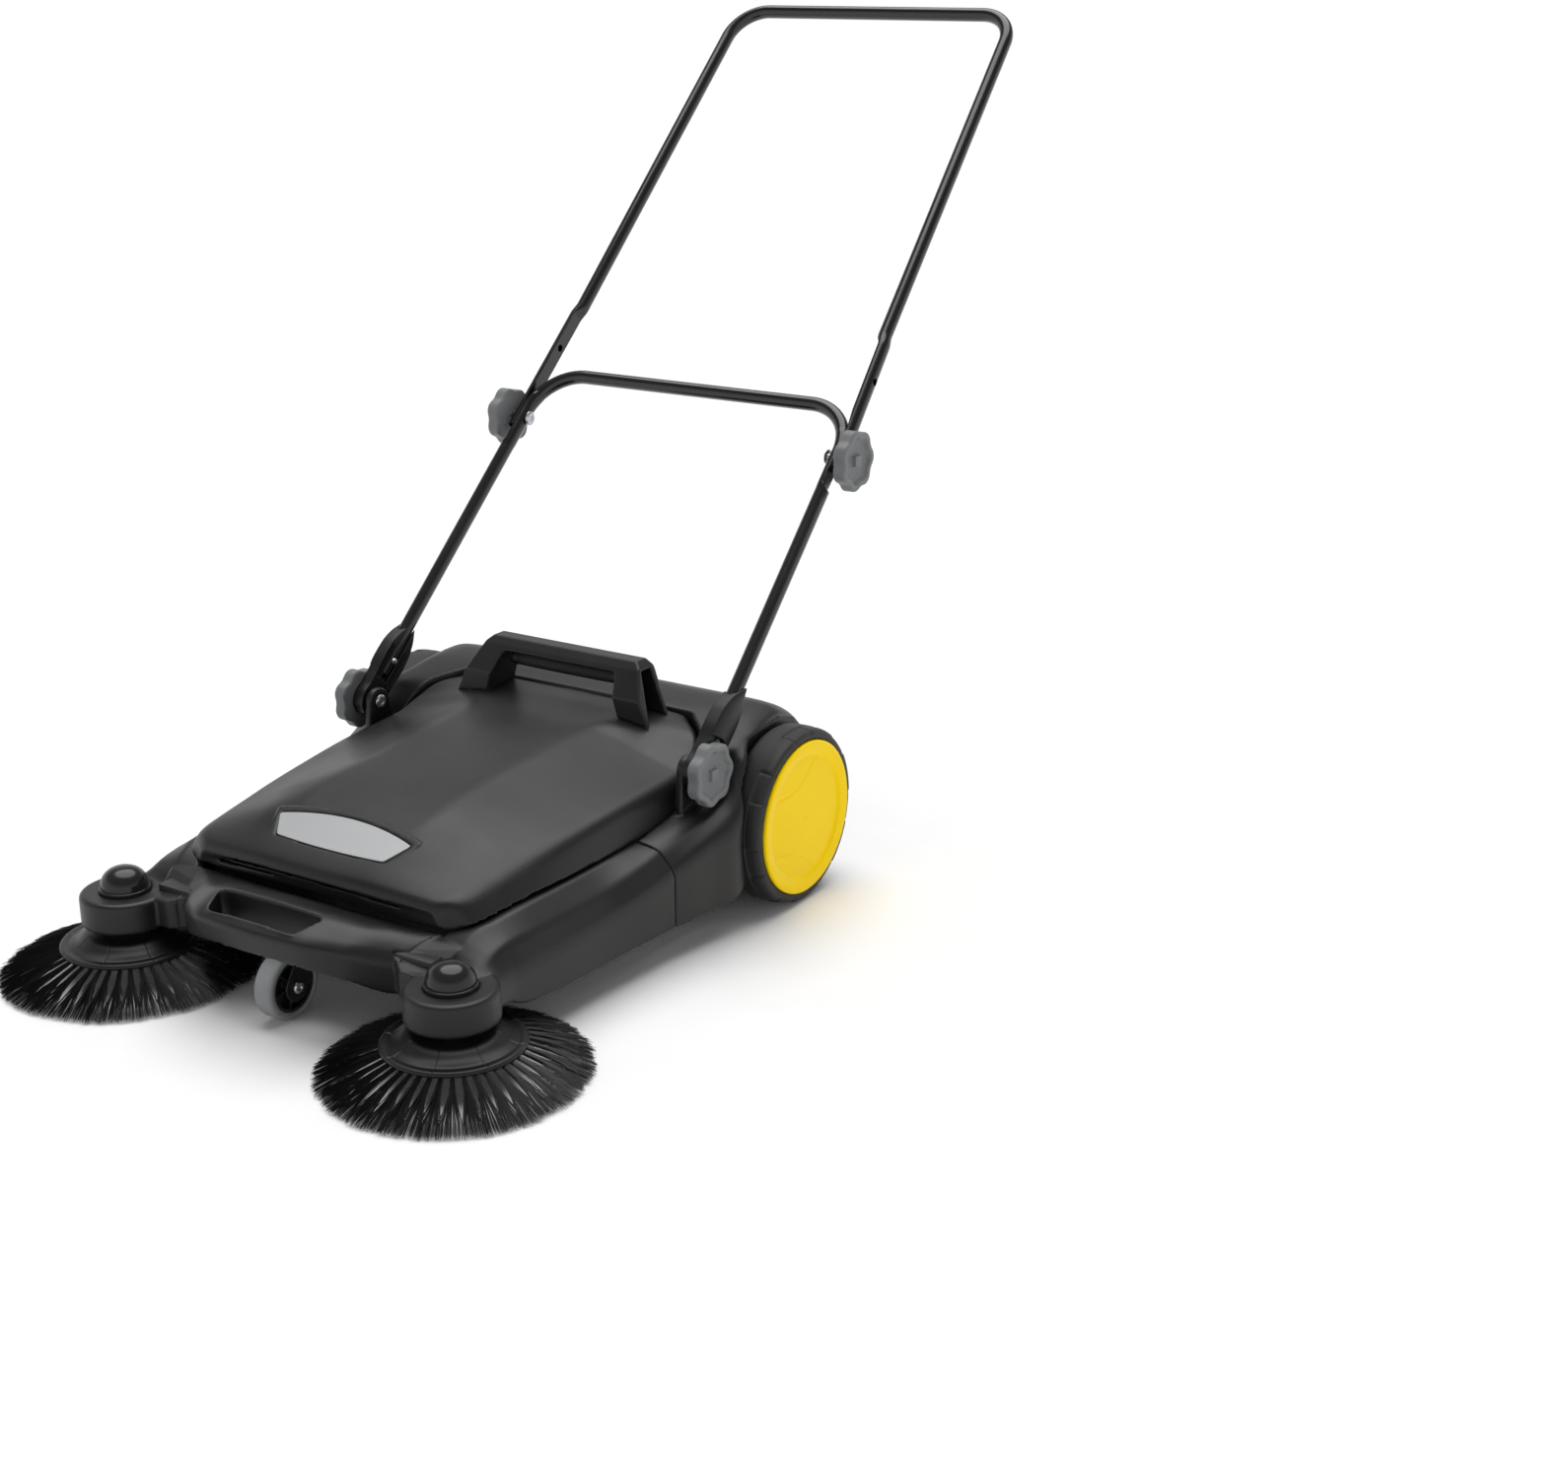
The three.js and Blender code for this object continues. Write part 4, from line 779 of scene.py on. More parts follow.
def tread(angle, radii, heights):
    """Raised and lower blocks in turn on the outer half, with a narrow notch at each change."""
    turn = (angle * TREAD["pairs"] / (2 * math.pi)) % 1
    away = min(turn, abs(turn - TREAD["raised"]), 1 - turn)
    notch = math.exp(-(away / TREAD["notch"]) ** 2)
    low = 1.0 if turn > TREAD["raised"] else 0.0
    outer = np.clip((heights - WHEEL["outer"] + 17) / 3, 0, 1) * (radii > WHEEL["rim"] + 3)
    return radii - outer * (1.6 * notch + 1.1 * low), heights


def build_wheels(looks):
    inner, outer, radius, rim = (WHEEL[key] for key in ("inner", "outer", "radius", "rim"))
    tyre = rounded(
        [(rim, inner), (radius - 5, inner), (radius - 1, inner + 5), (radius, inner + 13),
         (radius, outer - 17),
         (radius - 0.7, outer - 16), (radius - 0.4, outer - 7), (radius - 2.4, outer - 1.5),
         (radius - 6, outer),
         (rim + 2.2, outer), (rim + 1, outer - 1), (rim, outer - 1)],
        [0, 2, 3, 4, 0.4, 0.4, 4, 2.5, 2, 0.6, 0.6, 0], 5,
    )
    body = turned("tyre", np.vstack([tyre, tyre[:1]]), "x", (0, 0, WHEEL_Z), 720, tread)
    disc = hub_disc("disc")
    for side, hand in SIDES.items():
        first = hand > 0
        shown = body if first else mirrored(body, "tyre_twin")
        finished(shown, f"tyre_body_{side}", looks["rubber"], "rubber_black", f"{side}_wheel",
                 f"tyre_{side}")
        face = disc if first else mirrored(disc, "disc_twin")
        finished(face, f"hub_face_{side}", looks["yellow"], "plastic_yellow", f"{side}_wheel",
                 f"hub_disc_{side}")


def wave_groove(u, v):
    """Depth of the two fine wavy lines across the disc at (u, v), in shares of its radius."""
    upper = v - (0.41 + 0.72 * max(0, u + 0.35) ** 1.6)
    lower = v + 0.33 + 0.45 * max(0, u + 0.77) ** 2.05
    depth = math.exp(-(upper / 0.015) ** 2) + math.exp(-(lower / 0.015) ** 2)
    return depth * (u * u + v * v < 0.65)


def hub_disc(name):
    """A shallow dish with a raised rim, a step and two fine wavy lines."""
    radii = [0.5, *np.linspace(3, 67, 100), *np.linspace(67.6, 71, 10), *np.linspace(72, 82.2, 12),
             82.9, 83.5, 83.8, 84.0, 84.0]
    segments = 440
    rings = []
    for k in range(segments):
        angle = 2 * math.pi * k / segments
        cos, sin = math.cos(angle), math.sin(angle)
        line = []
        for i, r in enumerate(radii):
            share = r / 84
            if r <= 67:
                x = WHEEL["disc"] - 3.4 - 0.9 * (r / 67) ** 2
            elif r <= 71:
                t = (r - 67) / 4
                x = WHEEL["disc"] - 4.3 + 2.6 * t * t * (3 - 2 * t)
            else:
                x = WHEEL["disc"] - 1.7 + 1.5 * math.sin((min(r, 82.2) - 71) / 11.2 * math.pi / 2)
            x -= 0.7 * wave_groove(share * cos, share * sin)
            x -= max(0, r - 82.2) ** 2 * 0.35
            if i == len(radii) - 1:
                x = 272.9
            line.append((x, r * cos, r * sin + WHEEL_Z))
        line.append((272.9, 0.5 * cos, 0.5 * sin + WHEEL_Z))
        rings.append(line)
    return loft(name, rings, closed=True)


# ---- side brushes ----------------------------------------------------------
BRUSH = {"tip": 131.2, "rim": 69, "rim_z": 31, "tufts": 42, "hairs": 54, "fan": 0.74, "root": 1.4}


def hairs(name, lines, thick):
    """Tapered three-sided bristles along (rows, count, 3) centre points, in millimetres."""
    rows, count, _ = lines.shape
    along = lines[-1] - lines[0]
    along = along / np.linalg.norm(along, axis=1, keepdims=True)
    side = np.cross(along, (0.0, 0.0, 1.0))
    side /= np.maximum(np.linalg.norm(side, axis=1, keepdims=True), 1e-9)
    up = np.cross(side, along)
    widths = np.interp(np.linspace(0, 1, rows), (0, 0.45, 0.8, 1), (1, 0.95, 0.8, 0.45))
    rings = []
    for centre, width in zip(lines, widths):
        for k in range(3):
            angle = 2 * math.pi * k / 3
            rings.append(centre + (side * math.cos(angle) + up * math.sin(angle)) * thick * width)
    verts = np.stack(rings, 1).reshape(-1, 3)
    one = []
    for r in range(rows - 1):
        for k in range(3):
            a, b = r * 3 + k, r * 3 + (k + 1) % 3
            one.append((a, b, b + 3, a + 3))
    last = (rows - 1) * 3
    ends = [(2, 1, 0), (last, last + 1, last + 2)]
    size = rows * 3
    faces = [tuple(i + n * size for i in face) for n in range(count) for face in one + ends]
    return make(name, verts, faces, smooth=False)


def brush_hairs(name, hand, seed):
    """Tufts that stay narrow over the first half of their length and then fan out."""
    rng = np.random.default_rng(seed)
    tufts, per = BRUSH["tufts"], BRUSH["hairs"]
    count = tufts * per
    pitch = 2 * math.pi / tufts
    centre = np.repeat(np.arange(tufts) * pitch, per)
    across = np.tile(np.linspace(-1, 1, per), tufts) + rng.normal(0, 0.06, count)
    layer = rng.uniform(-1, 1, count)
    root_r = 61 + rng.uniform(0, 3, count)
    root_angle = centre + across * BRUSH["root"] / BRUSH["rim"]
    lean = np.repeat(rng.normal(0, 0.07, tufts), per)
    tip_angle = centre + (across * 0.54 + lean) * pitch + rng.normal(0, 0.010, count)
    reach = np.repeat(rng.normal(0, 1.0, tufts), per)
    tip_r = np.minimum(BRUSH["tip"] - 3.2 + reach + rng.normal(0, 1.5, count), BRUSH["tip"])
    sag = 1.5 + rng.normal(0, 0.6, count)
    low = 4.0 + 2.2 * layer + rng.normal(0, 0.4, count)
    lines = []
    for share in (0.0, 0.35, 0.6, 0.8, 1.0):
        radius = root_r + (tip_r - root_r) * share
        angle = root_angle + (tip_angle - root_angle) * min(1, share / BRUSH["fan"]) ** 2.4
        height = 29.5 + 1.4 * layer + (low - 29.5 - 1.4 * layer) * share + sag * 4 * share * (1 - share)
        lines.append(np.stack([hand * BRUSH_X + radius * np.cos(angle), BRUSH_Y + radius * np.sin(angle),
                               np.maximum(height, 0.5)], 1))
    return hairs(name, np.array(lines), 0.45)


def brush_plate(name, hand):
    """A dished holder: hub, sloping bowl with fine radial seams, and a light rolled rim."""
    rim, z = BRUSH["rim"], BRUSH["rim_z"]
    top = rounded([(8, 47.2), (28, 46.6), (44, 43.8), (52, 36.5), (60, 33.6),
                   (rim - 2, z + 3.0), (rim, z + 0.5), (rim - 0.6, z - 2.6), (rim - 5, z - 1.2),
                   (46, 39.2), (8, 42.8)],
                  [0, 3, 6, 6, 2, 2, 1.5, 1, 1, 3, 0], 5)
    profile = [(0, 47.3), *top, (0, 43.1)]

    def seams(angle, radii, heights):
        near = (angle * 8 / (2 * math.pi)) % 1
        line = math.exp(-((near - 0.5) / 0.012) ** 2)
        ring = np.exp(-((radii - 60) / 1.0) ** 2)
        upper = (heights > 30.5) & (radii > 30) & (radii < rim - 0.5)
        return radii, heights - upper * (0.7 * line + 0.5 * ring)

    return turned(name, profile, "z", (hand * BRUSH_X, BRUSH_Y, 0), 480, seams)


def build_brushes(looks):
    for number, (side, hand) in enumerate(SIDES.items()):
        body = f"{side}_brush"
        plate = brush_plate("plate", hand)
        finished(plate, f"brush_plate_{side}", looks["part"], "part_black", body, f"brush_disc_{side}")
        bristles = brush_hairs("hairs", hand, 20 + number * 7)
        finished(bristles, f"brush_hairs_{side}", looks["bristle"], "bristle", body,
                 f"brush_bristles_{side}")


# ---- roller ----------------------------------------------------------------
def build_roller(looks):
    rng = np.random.default_rng(5)
    rows, tufts, per = 6, 50, 12
    half, core = 198.0, 22.0
    radius = ROLLER_Z - 0.5
    twist = math.radians(36)
    spots = np.repeat(np.linspace(-half, half, tufts), per)
    roots, tips = [], []
    for row in range(rows):
        x = spots + rng.normal(0, 0.9, len(spots))
        angle = 2 * math.pi * row / rows + np.abs(spots) / 200 * twist + rng.normal(0, 0.05, len(spots))
        spread = rng.normal(0, 2.2, len(spots))
        reach = radius - np.abs(rng.normal(0, 0.8, len(spots)))
        tip_angle = angle + rng.normal(0, 0.03, len(spots))
        roots.append(np.stack([x, core * np.cos(angle), core * np.sin(angle)], 1))
        tips.append(np.stack([np.clip(x + spread, -half - 1.5, half + 1.5), reach * np.cos(tip_angle),
                              reach * np.sin(tip_angle)], 1))
    roots, tips = np.vstack(roots), np.vstack(tips)
    place = np.array([0, ROLLER_Y, ROLLER_Z])
    bow = rng.normal(0, 1, (len(roots), 1)) * (0.6, 0, 0)
    lines = np.array([roots, (roots + tips) / 2 + bow, tips]) + place
    brush = hairs("roller_hairs", lines, 0.55)
    finished(brush, "roller_hairs", looks["bristle"], "bristle", "roller", "roller_bristles")

    ridge = 23.6

    def sleeve(angle, radii, heights):
        turn = np.cos(rows * (angle - np.abs(heights) / 200 * twist))
        return radii + np.where(radii > 15, 0.8 * np.maximum(turn, 0) ** 6, 0), heights

    ends = rounded([(5, -248), (5, -204), (ridge - 1, -204), (ridge, -203)], [0, 1, 1, 0.5], 4)
    middle = [(ridge, x) for x in np.linspace(-202, 202, 102)]
    profile = [(0, -248), *ends, *middle, *[(r, -x) for r, x in ends[::-1]], (0, 248)]
    core_body = turned("core", profile, "x", place, 144, sleeve)
    finished(core_body, "roller_tube", looks["grey"], "plastic_grey", "roller", "roller_core")


# ---- front castor ----------------------------------------------------------
CASTER = {"radius": 34.2, "half": 11}


def build_caster(looks):
    place = (0, CASTER_Y, CASTER_Z)
    half, radius = CASTER["half"], CASTER["radius"]
    tyre = rounded([(26.6, -half), (radius - 2, -half), (radius, -half + 3), (radius, half - 3),
                    (radius - 2, half), (26.6, half)], [0, 2, 3, 3, 2, 0], 6)
    tyre = np.vstack([tyre, tyre[:1]])
    finished(turned("tyre", tyre, "x", place, 160), "castor_tyre", looks["grey_rubber"], "rubber_grey",
             "caster_wheel", "caster_tyre")

    hub = rounded([(4.4, -half), (8.6, -half), (9.4, -3), (22.6, -2.4),
                   (23, -half + 0.8), (26.3, -half + 0.8), (26.3, half - 0.8), (23, half - 0.8),
                   (22.6, 2.4), (9.4, 3), (8.6, half), (4.4, half)],
                  [0, 0.8, 1, 1, 0.8, 0.6, 0.6, 0.8, 1, 1, 0.8, 0], 4)
    hub_body = turned("hub", np.vstack([hub, hub[:1]]), "x", place, 128)
    spokes = []
    for k in range(6):
        angle = math.radians(60 * k + 15)
        along = np.array([math.cos(angle), math.sin(angle)])
        across = np.array([-along[1], along[0]])
        corners = [along * 8.9 + across * 1.5, along * 24 + across * 1.1, along * 24 - across * 1.1,
                   along * 8.9 - across * 1.5]
        outline = [(CASTER_Y + a, CASTER_Z + b) for a, b in corners]
        spokes.append(prism("spoke", outline, -half + 2.5, half - 2.5, "x"))
    unite(hub_body, *spokes)
    crisp(hub_body, 0.35, 2)
    finished(hub_body, "castor_hub", looks["part"], "part_black", "caster_wheel", "caster_hub")

    fork = moulded(copy_of("caster_fork", "fork"), 0.7, 6, 0.4)
    finished(fork, "castor_fork", looks["part"], "part_black", "caster_swivel", "caster_fork")

    end = half + 4.4
    side = rounded([(4, 0), (4, end), (6.3, end), (6.3, end + 1.4), (4.6, end + 3), (2.6, end + 3),
                    (2.2, end + 1.6)], [0, 0.2, 0.2, 1.2, 0.8, 0.3, 0], 4)
    profile = [(0, -end - 1.6), *[(r, -x) for r, x in side[:0:-1]], *side[1:], (0, end + 1.6)]
    finished(turned("axle", profile, "x", place, 72), "castor_bolt", looks["steel"], "steel",
             "caster_swivel", "caster_axle")


# ---- handle tubes ----------------------------------------------------------
LOWER = {"length": 462.6, "foot_half": 226, "top_half": 214.6, "bend": 60, "foot": 34}
UPPER = {"length": 635.7, "foot_half": 214.9, "top_half": 194.6, "bend": 45}
# The upper tube is pressed to a half-round on its inner side below "high" and round again at "end".
UPPER_PRESS = {"tail": -14, "flat": 36, "low": 60, "high": 148, "end": 166, "hole": 102, "foot_x": 220.5,
               "high_x": 212.7}
LOWER_PRESS = {"end": 352, "low": 360, "mid": 378, "joint": 396}
FACE_X = {"lower": 217.8, "upper": 218.1, "deep": 2.4}
PRESSED_HALF_WIDTH = 8.8


def lower_lean():
    return math.atan2(ELBOW_Y - PIVOT_Y, ELBOW_Z - PIVOT_Z)


def upper_lean():
    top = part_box("upper_tube")[1] / MM
    return math.atan2(top.y - AXLE_Y - TUBE_RADIUS - ELBOW_Y, top.z - TUBE_RADIUS - ELBOW_Z)


def tilted(points, y, z, lean):
    """From a handle's own upright plane to its lean about (y, z)."""
    points = np.asarray(points, float)
    cos, sin = math.cos(lean), math.sin(lean)
    x, depth, height = points[..., 0], points[..., 1], points[..., 2]
    return np.stack([x, y + depth * cos + height * sin, z - depth * sin + height * cos], -1)


def leg_x(half, z):
    return half["foot_half"] - (half["foot_half"] - half["top_half"]) * z / half["length"]


def bend_path(tube, foot_z, steps=24):
    """Centre line of one half of a U-shaped tube, from its foot up the leg and round the bend."""
    lean = math.atan2(tube["foot_half"] - tube["top_half"], tube["length"])
    bend = tube["bend"]
    back = bend * math.tan((math.pi / 2 - lean) / 2)
    start = (tube["top_half"] + back * math.sin(lean), tube["length"] - back * math.cos(lean))
    centre = (start[0] - bend * math.cos(lean), start[1] - bend * math.sin(lean))
    legs = [(leg_x(tube, z), z) for z in np.linspace(foot_z, start[1], 12)[:-1]]
    turns = np.linspace(lean, math.pi / 2, steps)
    return legs + [(centre[0] + bend * math.cos(a), centre[1] + bend * math.sin(a)) for a in turns]


def sweep(name, stations, y, z, lean, radius=TUBE_RADIUS, sides=48):
    """A tube through (x, height, half width, inner reach, outer reach) stations and their mirror."""
    whole = list(stations) + [(-s[0], *s[1:]) for s in reversed(stations)]
    rings = []
    for i, (x, height, wide, inner, outer) in enumerate(whole):
        before, after = whole[max(i - 1, 0)], whole[min(i + 1, len(whole) - 1)]
        along = np.array([after[0] - before[0], 0, after[1] - before[1]])
        along /= np.linalg.norm(along)
        across = np.array([along[2], 0, -along[0]])
        ring = []
        for k in range(sides):
            angle = 2 * math.pi * (k + 0.5) / sides
            c, s = math.cos(angle), math.sin(angle)
            px = min(max(c * radius, -inner), outer)
            ring.append(np.array([x, 0, height]) + across * px + (0, s * wide, 0))
        rings.append(ring)
    return loft(name, tilted(rings, y, z, lean))


def cross_hole(name, radius, x, height, reach, y, z, lean):
    centre = tilted([(x, 0, height)], y, z, lean)[0]
    return rod(name, radius, x - reach, x + reach, "x", (centre[1], centre[2]), 40)


def hollow_tube(name, stations, y, z, lean):
    """A tube with its bore, open at both ends."""
    tube = sweep(name, stations, y, z, lean)
    bore = [(x, height, wide - WALL, inner - WALL, outer - WALL)
            for x, height, wide, inner, outer in stations]
    foot = bore[0]
    bore = [(foot[0], foot[1] - 6, *foot[2:]), *bore]
    return cut(tube, sweep(name + "_bore", bore, y, z, lean, TUBE_RADIUS - WALL))


def lower_stations():
    """Round from the foot, pressed on the outer side round the joint, and round again in the bend."""
    heights = [LOWER["foot"], *np.linspace(LOWER_PRESS["end"], LOWER_PRESS["low"], 5), LOWER_PRESS["mid"]]
    path = [(leg_x(LOWER, z), z) for z in heights] + bend_path(LOWER, LOWER_PRESS["joint"], 32)
    stations = []
    for x, z in path:
        pressed = np.clip((z - LOWER_PRESS["end"]) / (LOWER_PRESS["low"] - LOWER_PRESS["end"]), 0, 1)
        flat = min(FACE_X["lower"] - x, TUBE_RADIUS) if x > 0 else TUBE_RADIUS
        outer = TUBE_RADIUS + (flat - TUBE_RADIUS) * pressed
        wide = TUBE_RADIUS + (PRESSED_HALF_WIDTH - TUBE_RADIUS) * pressed * (outer < TUBE_RADIUS)
        stations.append((x, z, wide, TUBE_RADIUS, outer))
    return stations


def upper_x(z):
    low, high = UPPER_PRESS["foot_x"], UPPER_PRESS["high_x"]
    return low + (high - low) * z / UPPER_PRESS["high"]


def upper_stations():
    """Pressed half-round from the tail to above the spare hole, then round up the leg and the bend."""
    stations = []
    for z in (UPPER_PRESS["tail"], 0, UPPER_PRESS["flat"]):
        stations.append((upper_x(z), z, PRESSED_HALF_WIDTH, upper_x(z) - FACE_X["upper"], TUBE_RADIUS))
    for z in (UPPER_PRESS["low"], 90, 120, UPPER_PRESS["high"]):
        stations.append((upper_x(z), z, PRESSED_HALF_WIDTH, FACE_X["deep"], TUBE_RADIUS))
    end_x = leg_x(UPPER, UPPER_PRESS["end"])
    for share in np.linspace(0.15, 0.9, 6):
        ease = share * share * (3 - 2 * share)
        z = UPPER_PRESS["high"] + (UPPER_PRESS["end"] - UPPER_PRESS["high"]) * share
        x = UPPER_PRESS["high_x"] + (end_x - UPPER_PRESS["high_x"]) * ease
        wide = PRESSED_HALF_WIDTH + (TUBE_RADIUS - PRESSED_HALF_WIDTH) * ease
        inner = FACE_X["deep"] + (TUBE_RADIUS - FACE_X["deep"]) * ease
        stations.append((x, z, wide, inner, TUBE_RADIUS))
    rounds = bend_path(UPPER, UPPER_PRESS["end"], 28)
    return stations + [(x, z, TUBE_RADIUS, TUBE_RADIUS, TUBE_RADIUS) for x, z in rounds]


def build_tubes(looks):
    lean = lower_lean()
    lower = hollow_tube("lower", lower_stations(), PIVOT_Y, PIVOT_Z, lean)
    joint_z = math.hypot(ELBOW_Y - PIVOT_Y, ELBOW_Z - PIVOT_Z)
    joint_x = leg_x(LOWER, joint_z)
    cut(lower, *[cross_hole("hole", BOLT_HOLE, hand * joint_x, joint_z, 14, PIVOT_Y, PIVOT_Z, lean)
                 for hand in SIDES.values()])
    crisp(lower, 0.35, 2)
    finished(lower, "lower_bow", looks["paint"], "tube_paint", "lower_handle", "lower_tube")

    lean = upper_lean()
    upper = hollow_tube("upper", upper_stations(), ELBOW_Y, ELBOW_Z, lean)
    cut(upper, *[cross_hole("hole", BOLT_HOLE, hand * upper_x(z), z, 14, ELBOW_Y, ELBOW_Z, lean)
                 for hand in SIDES.values() for z in (0, UPPER_PRESS["hole"])])
    crisp(upper, 0.35, 2)
    finished(upper, "upper_bow", looks["paint"], "tube_paint", "upper_handle", "upper_tube")


# ---- brackets, bolts and knobs ---------------------------------------------
KNOB = {"radius": 34, "lobes": 7, "lobe": 3.6, "thick": 15, "bore": 9.4, "block": 0.22}
BRACKET = (216.5, 235.5)


def leaf_half_width(z):
    """Half width of the bracket at a height over its pivot: round foot, waist, wide middle, point."""
    heights = [-19, -14, 0, 14, 30, 48, 66, 84, 98, 104]
    widths = [2, 12.8, 19, 17.5, 17.8, 19.5, 18.6, 13.5, 5, 1.2]
    return float(eased(heights, [[w] for w in widths], [z])[0][0])


def bracket_body(name):
    """A crowned leaf whose outer face swells over the tube and thins towards its edge."""
    rings = []
    for z in span(-19, 104, 1.5):
        half = leaf_half_width(z)
        lean_y = 0.02 * z
        swell = 4.5 * math.exp(-((z - 48) / 38) ** 2)
        ring = []
        for t in np.linspace(-1, 1, 25):
            outer = BRACKET[1] - 3.6 - swell * 0.2 + (swell * 0.8 + 2.6) * (1 - abs(t) ** 2.6)
            ring.append((outer, lean_y + half * t, z))
        ring += [(BRACKET[0], lean_y + half * t, z) for t in np.linspace(1, -1, 9)]
        rings.append(ring)
    return loft(name, tilted(rings, PIVOT_Y, PIVOT_Z, lower_lean()))


def own_prism(name, outline, low, high):
    """A prism along x whose (depth, height) outline is in the lower handle's own plane."""
    ends = [[(x, d, h) for d, h in outline] for x in (low, high)]
    return loft(name, tilted(ends, PIVOT_Y, PIVOT_Z, lower_lean()))


def build_brackets(looks):
    lean = lower_lean()
    leaf = bracket_body("leaf")
    room = [(leg_x(LOWER, z), z, TUBE_RADIUS + 0.7, TUBE_RADIUS + 0.7, 1) for z in (31, 60, 118)]
    rings = []
    for x, z, thick, wide, _ in room:
        rings.append([(x + thick * math.cos(a), wide * math.sin(a), z)
                      for a in np.linspace(0, 2 * math.pi, 48, endpoint=False)])
    tools = [loft("tube_room", tilted(rings, PIVOT_Y, PIVOT_Z, lean)),
             rod("bore", BOLT_HOLE, 200, 250, "x", (PIVOT_Y, PIVOT_Z)),
             rod("seat", 39.5, 230.6, 250, "x", (PIVOT_Y, PIVOT_Z), 96)]
    for start in (-14.8, -11.2, 8.8, 12.4):
        pocket = [(start, 24), (start + 2.2, 24), (start + 2.2, 66), (start, 66)]
        tools.append(own_prism("pocket", pocket, BRACKET[0] - 2, BRACKET[1] - 8))
    tools.append(own_prism("mouth", [(-6, 26), (6, 26), (6, 112), (-6, 112)], BRACKET[0] - 2, 222))
    cut(leaf, *tools)
    moulded(leaf, 0.75, 6, 0.35)
    twin = mirrored(leaf, "leaf_twin")
    for side, obj in (("right", leaf), ("left", twin)):
        finished(obj, f"leaf_bracket_{side}", looks["part"], "part_black", "lower_handle",
                 f"pivot_bracket_{side}")


def bolt(name, head_from, end, radius, shank, y, z):
    """A bolt along x with a domed, hollowed head at its inner end."""
    head = rounded([(0, head_from + 1.2), (2.4, head_from + 1.2), (2.8, head_from),
                    (radius - 2, head_from + 0.2), (radius, head_from + 1.9), (radius, head_from + 2.7),
                    (shank, head_from + 2.8), (shank, end - 1), (shank - 1, end), (0, end)],
                   [0, 0.3, 0.4, 1.4, 0.6, 0.2, 0.2, 0.5, 0.5, 0], 4)
    return turned(name, head, "x", (0, y, z), 64)


def knob_body(name, x, y, z):
    """A lobed knob with a straight side, a raised rim, a hollowed face and a small square block."""
    rings = []
    segments = 280
    profile = rounded([(0.35, 0), (0.94, 0), (1, 0.08), (1, 0.88), (0.95, 1.0), (0.79, 1.0), (0.72, 0.72),
                       (0.26, 0.68), (KNOB["block"], 0.72), (0.2, 0.97), (0.0, 0.97)],
                      [0, 0.05, 0.06, 0.06, 0.05, 0.04, 0.08, 0.03, 0.03, 0.03, 0], 6)
    for k in range(segments):
        angle = 2 * math.pi * k / segments
        wave = math.cos(KNOB["lobes"] * angle)
        lobe = KNOB["radius"] - KNOB["lobe"] * (0.5 - 0.5 * wave) ** 1.2
        square = (abs(math.cos(angle)) ** 8 + abs(math.sin(angle)) ** 8) ** (-1 / 8)
        line = []
        for share, height in profile:
            radius = lobe * share if share > 0.6 else KNOB["radius"] * share
            if share <= KNOB["block"] + 0.01:
                radius *= 0.85 * square
            line.append((x + height * KNOB["thick"], y + radius * math.cos(angle),
                         z + radius * math.sin(angle)))
        bore = [(KNOB["bore"], 0), (KNOB["bore"], BOLT_HOLE), (0, BOLT_HOLE)]
        line += [(x + depth, y + r * math.cos(angle), z + r * math.sin(angle)) for depth, r in bore]
        rings.append(line)
    obj = loft(name, rings, closed=True)
    weld(obj)
    return obj


def build_knobs(looks):
    for place, y, z in (("pivot", PIVOT_Y, PIVOT_Z), ("joint", ELBOW_Y, ELBOW_Z)):
        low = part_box(f"{place}_knob_right")[0].x / MM
        knob = knob_body("knob", low, y, z)
        twin = mirrored(knob, "knob_twin")
        for side, obj in (("right", knob), ("left", twin)):
            finished(obj, f"star_{place}_{side}", looks["grey"], "plastic_grey", f"{side}_{place}_knob",
                     f"{place}_knob_{side}")
        node = "pivot_bolt" if place == "pivot" else "joint_bolt"
        owner = "chassis" if place == "pivot" else "lower_handle"
        start, end = (corner.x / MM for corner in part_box(f"{node}_right"))
        right = bolt("bolt", start, end, 8.3, 4, y, z)
        left = mirrored(right, "bolt_twin")
        for side, obj in (("right", right), ("left", left)):
            finished(obj, f"{place}_screw_{side}", looks["steel"], "steel", owner, f"{node}_{side}")


# ---- materials -------------------------------------------------------------
def node(tree, kind, **values):
    made = tree.nodes.new(kind)
    for key, value in values.items():
        setattr(made, key, value)
    return made


SHINE = 0.36


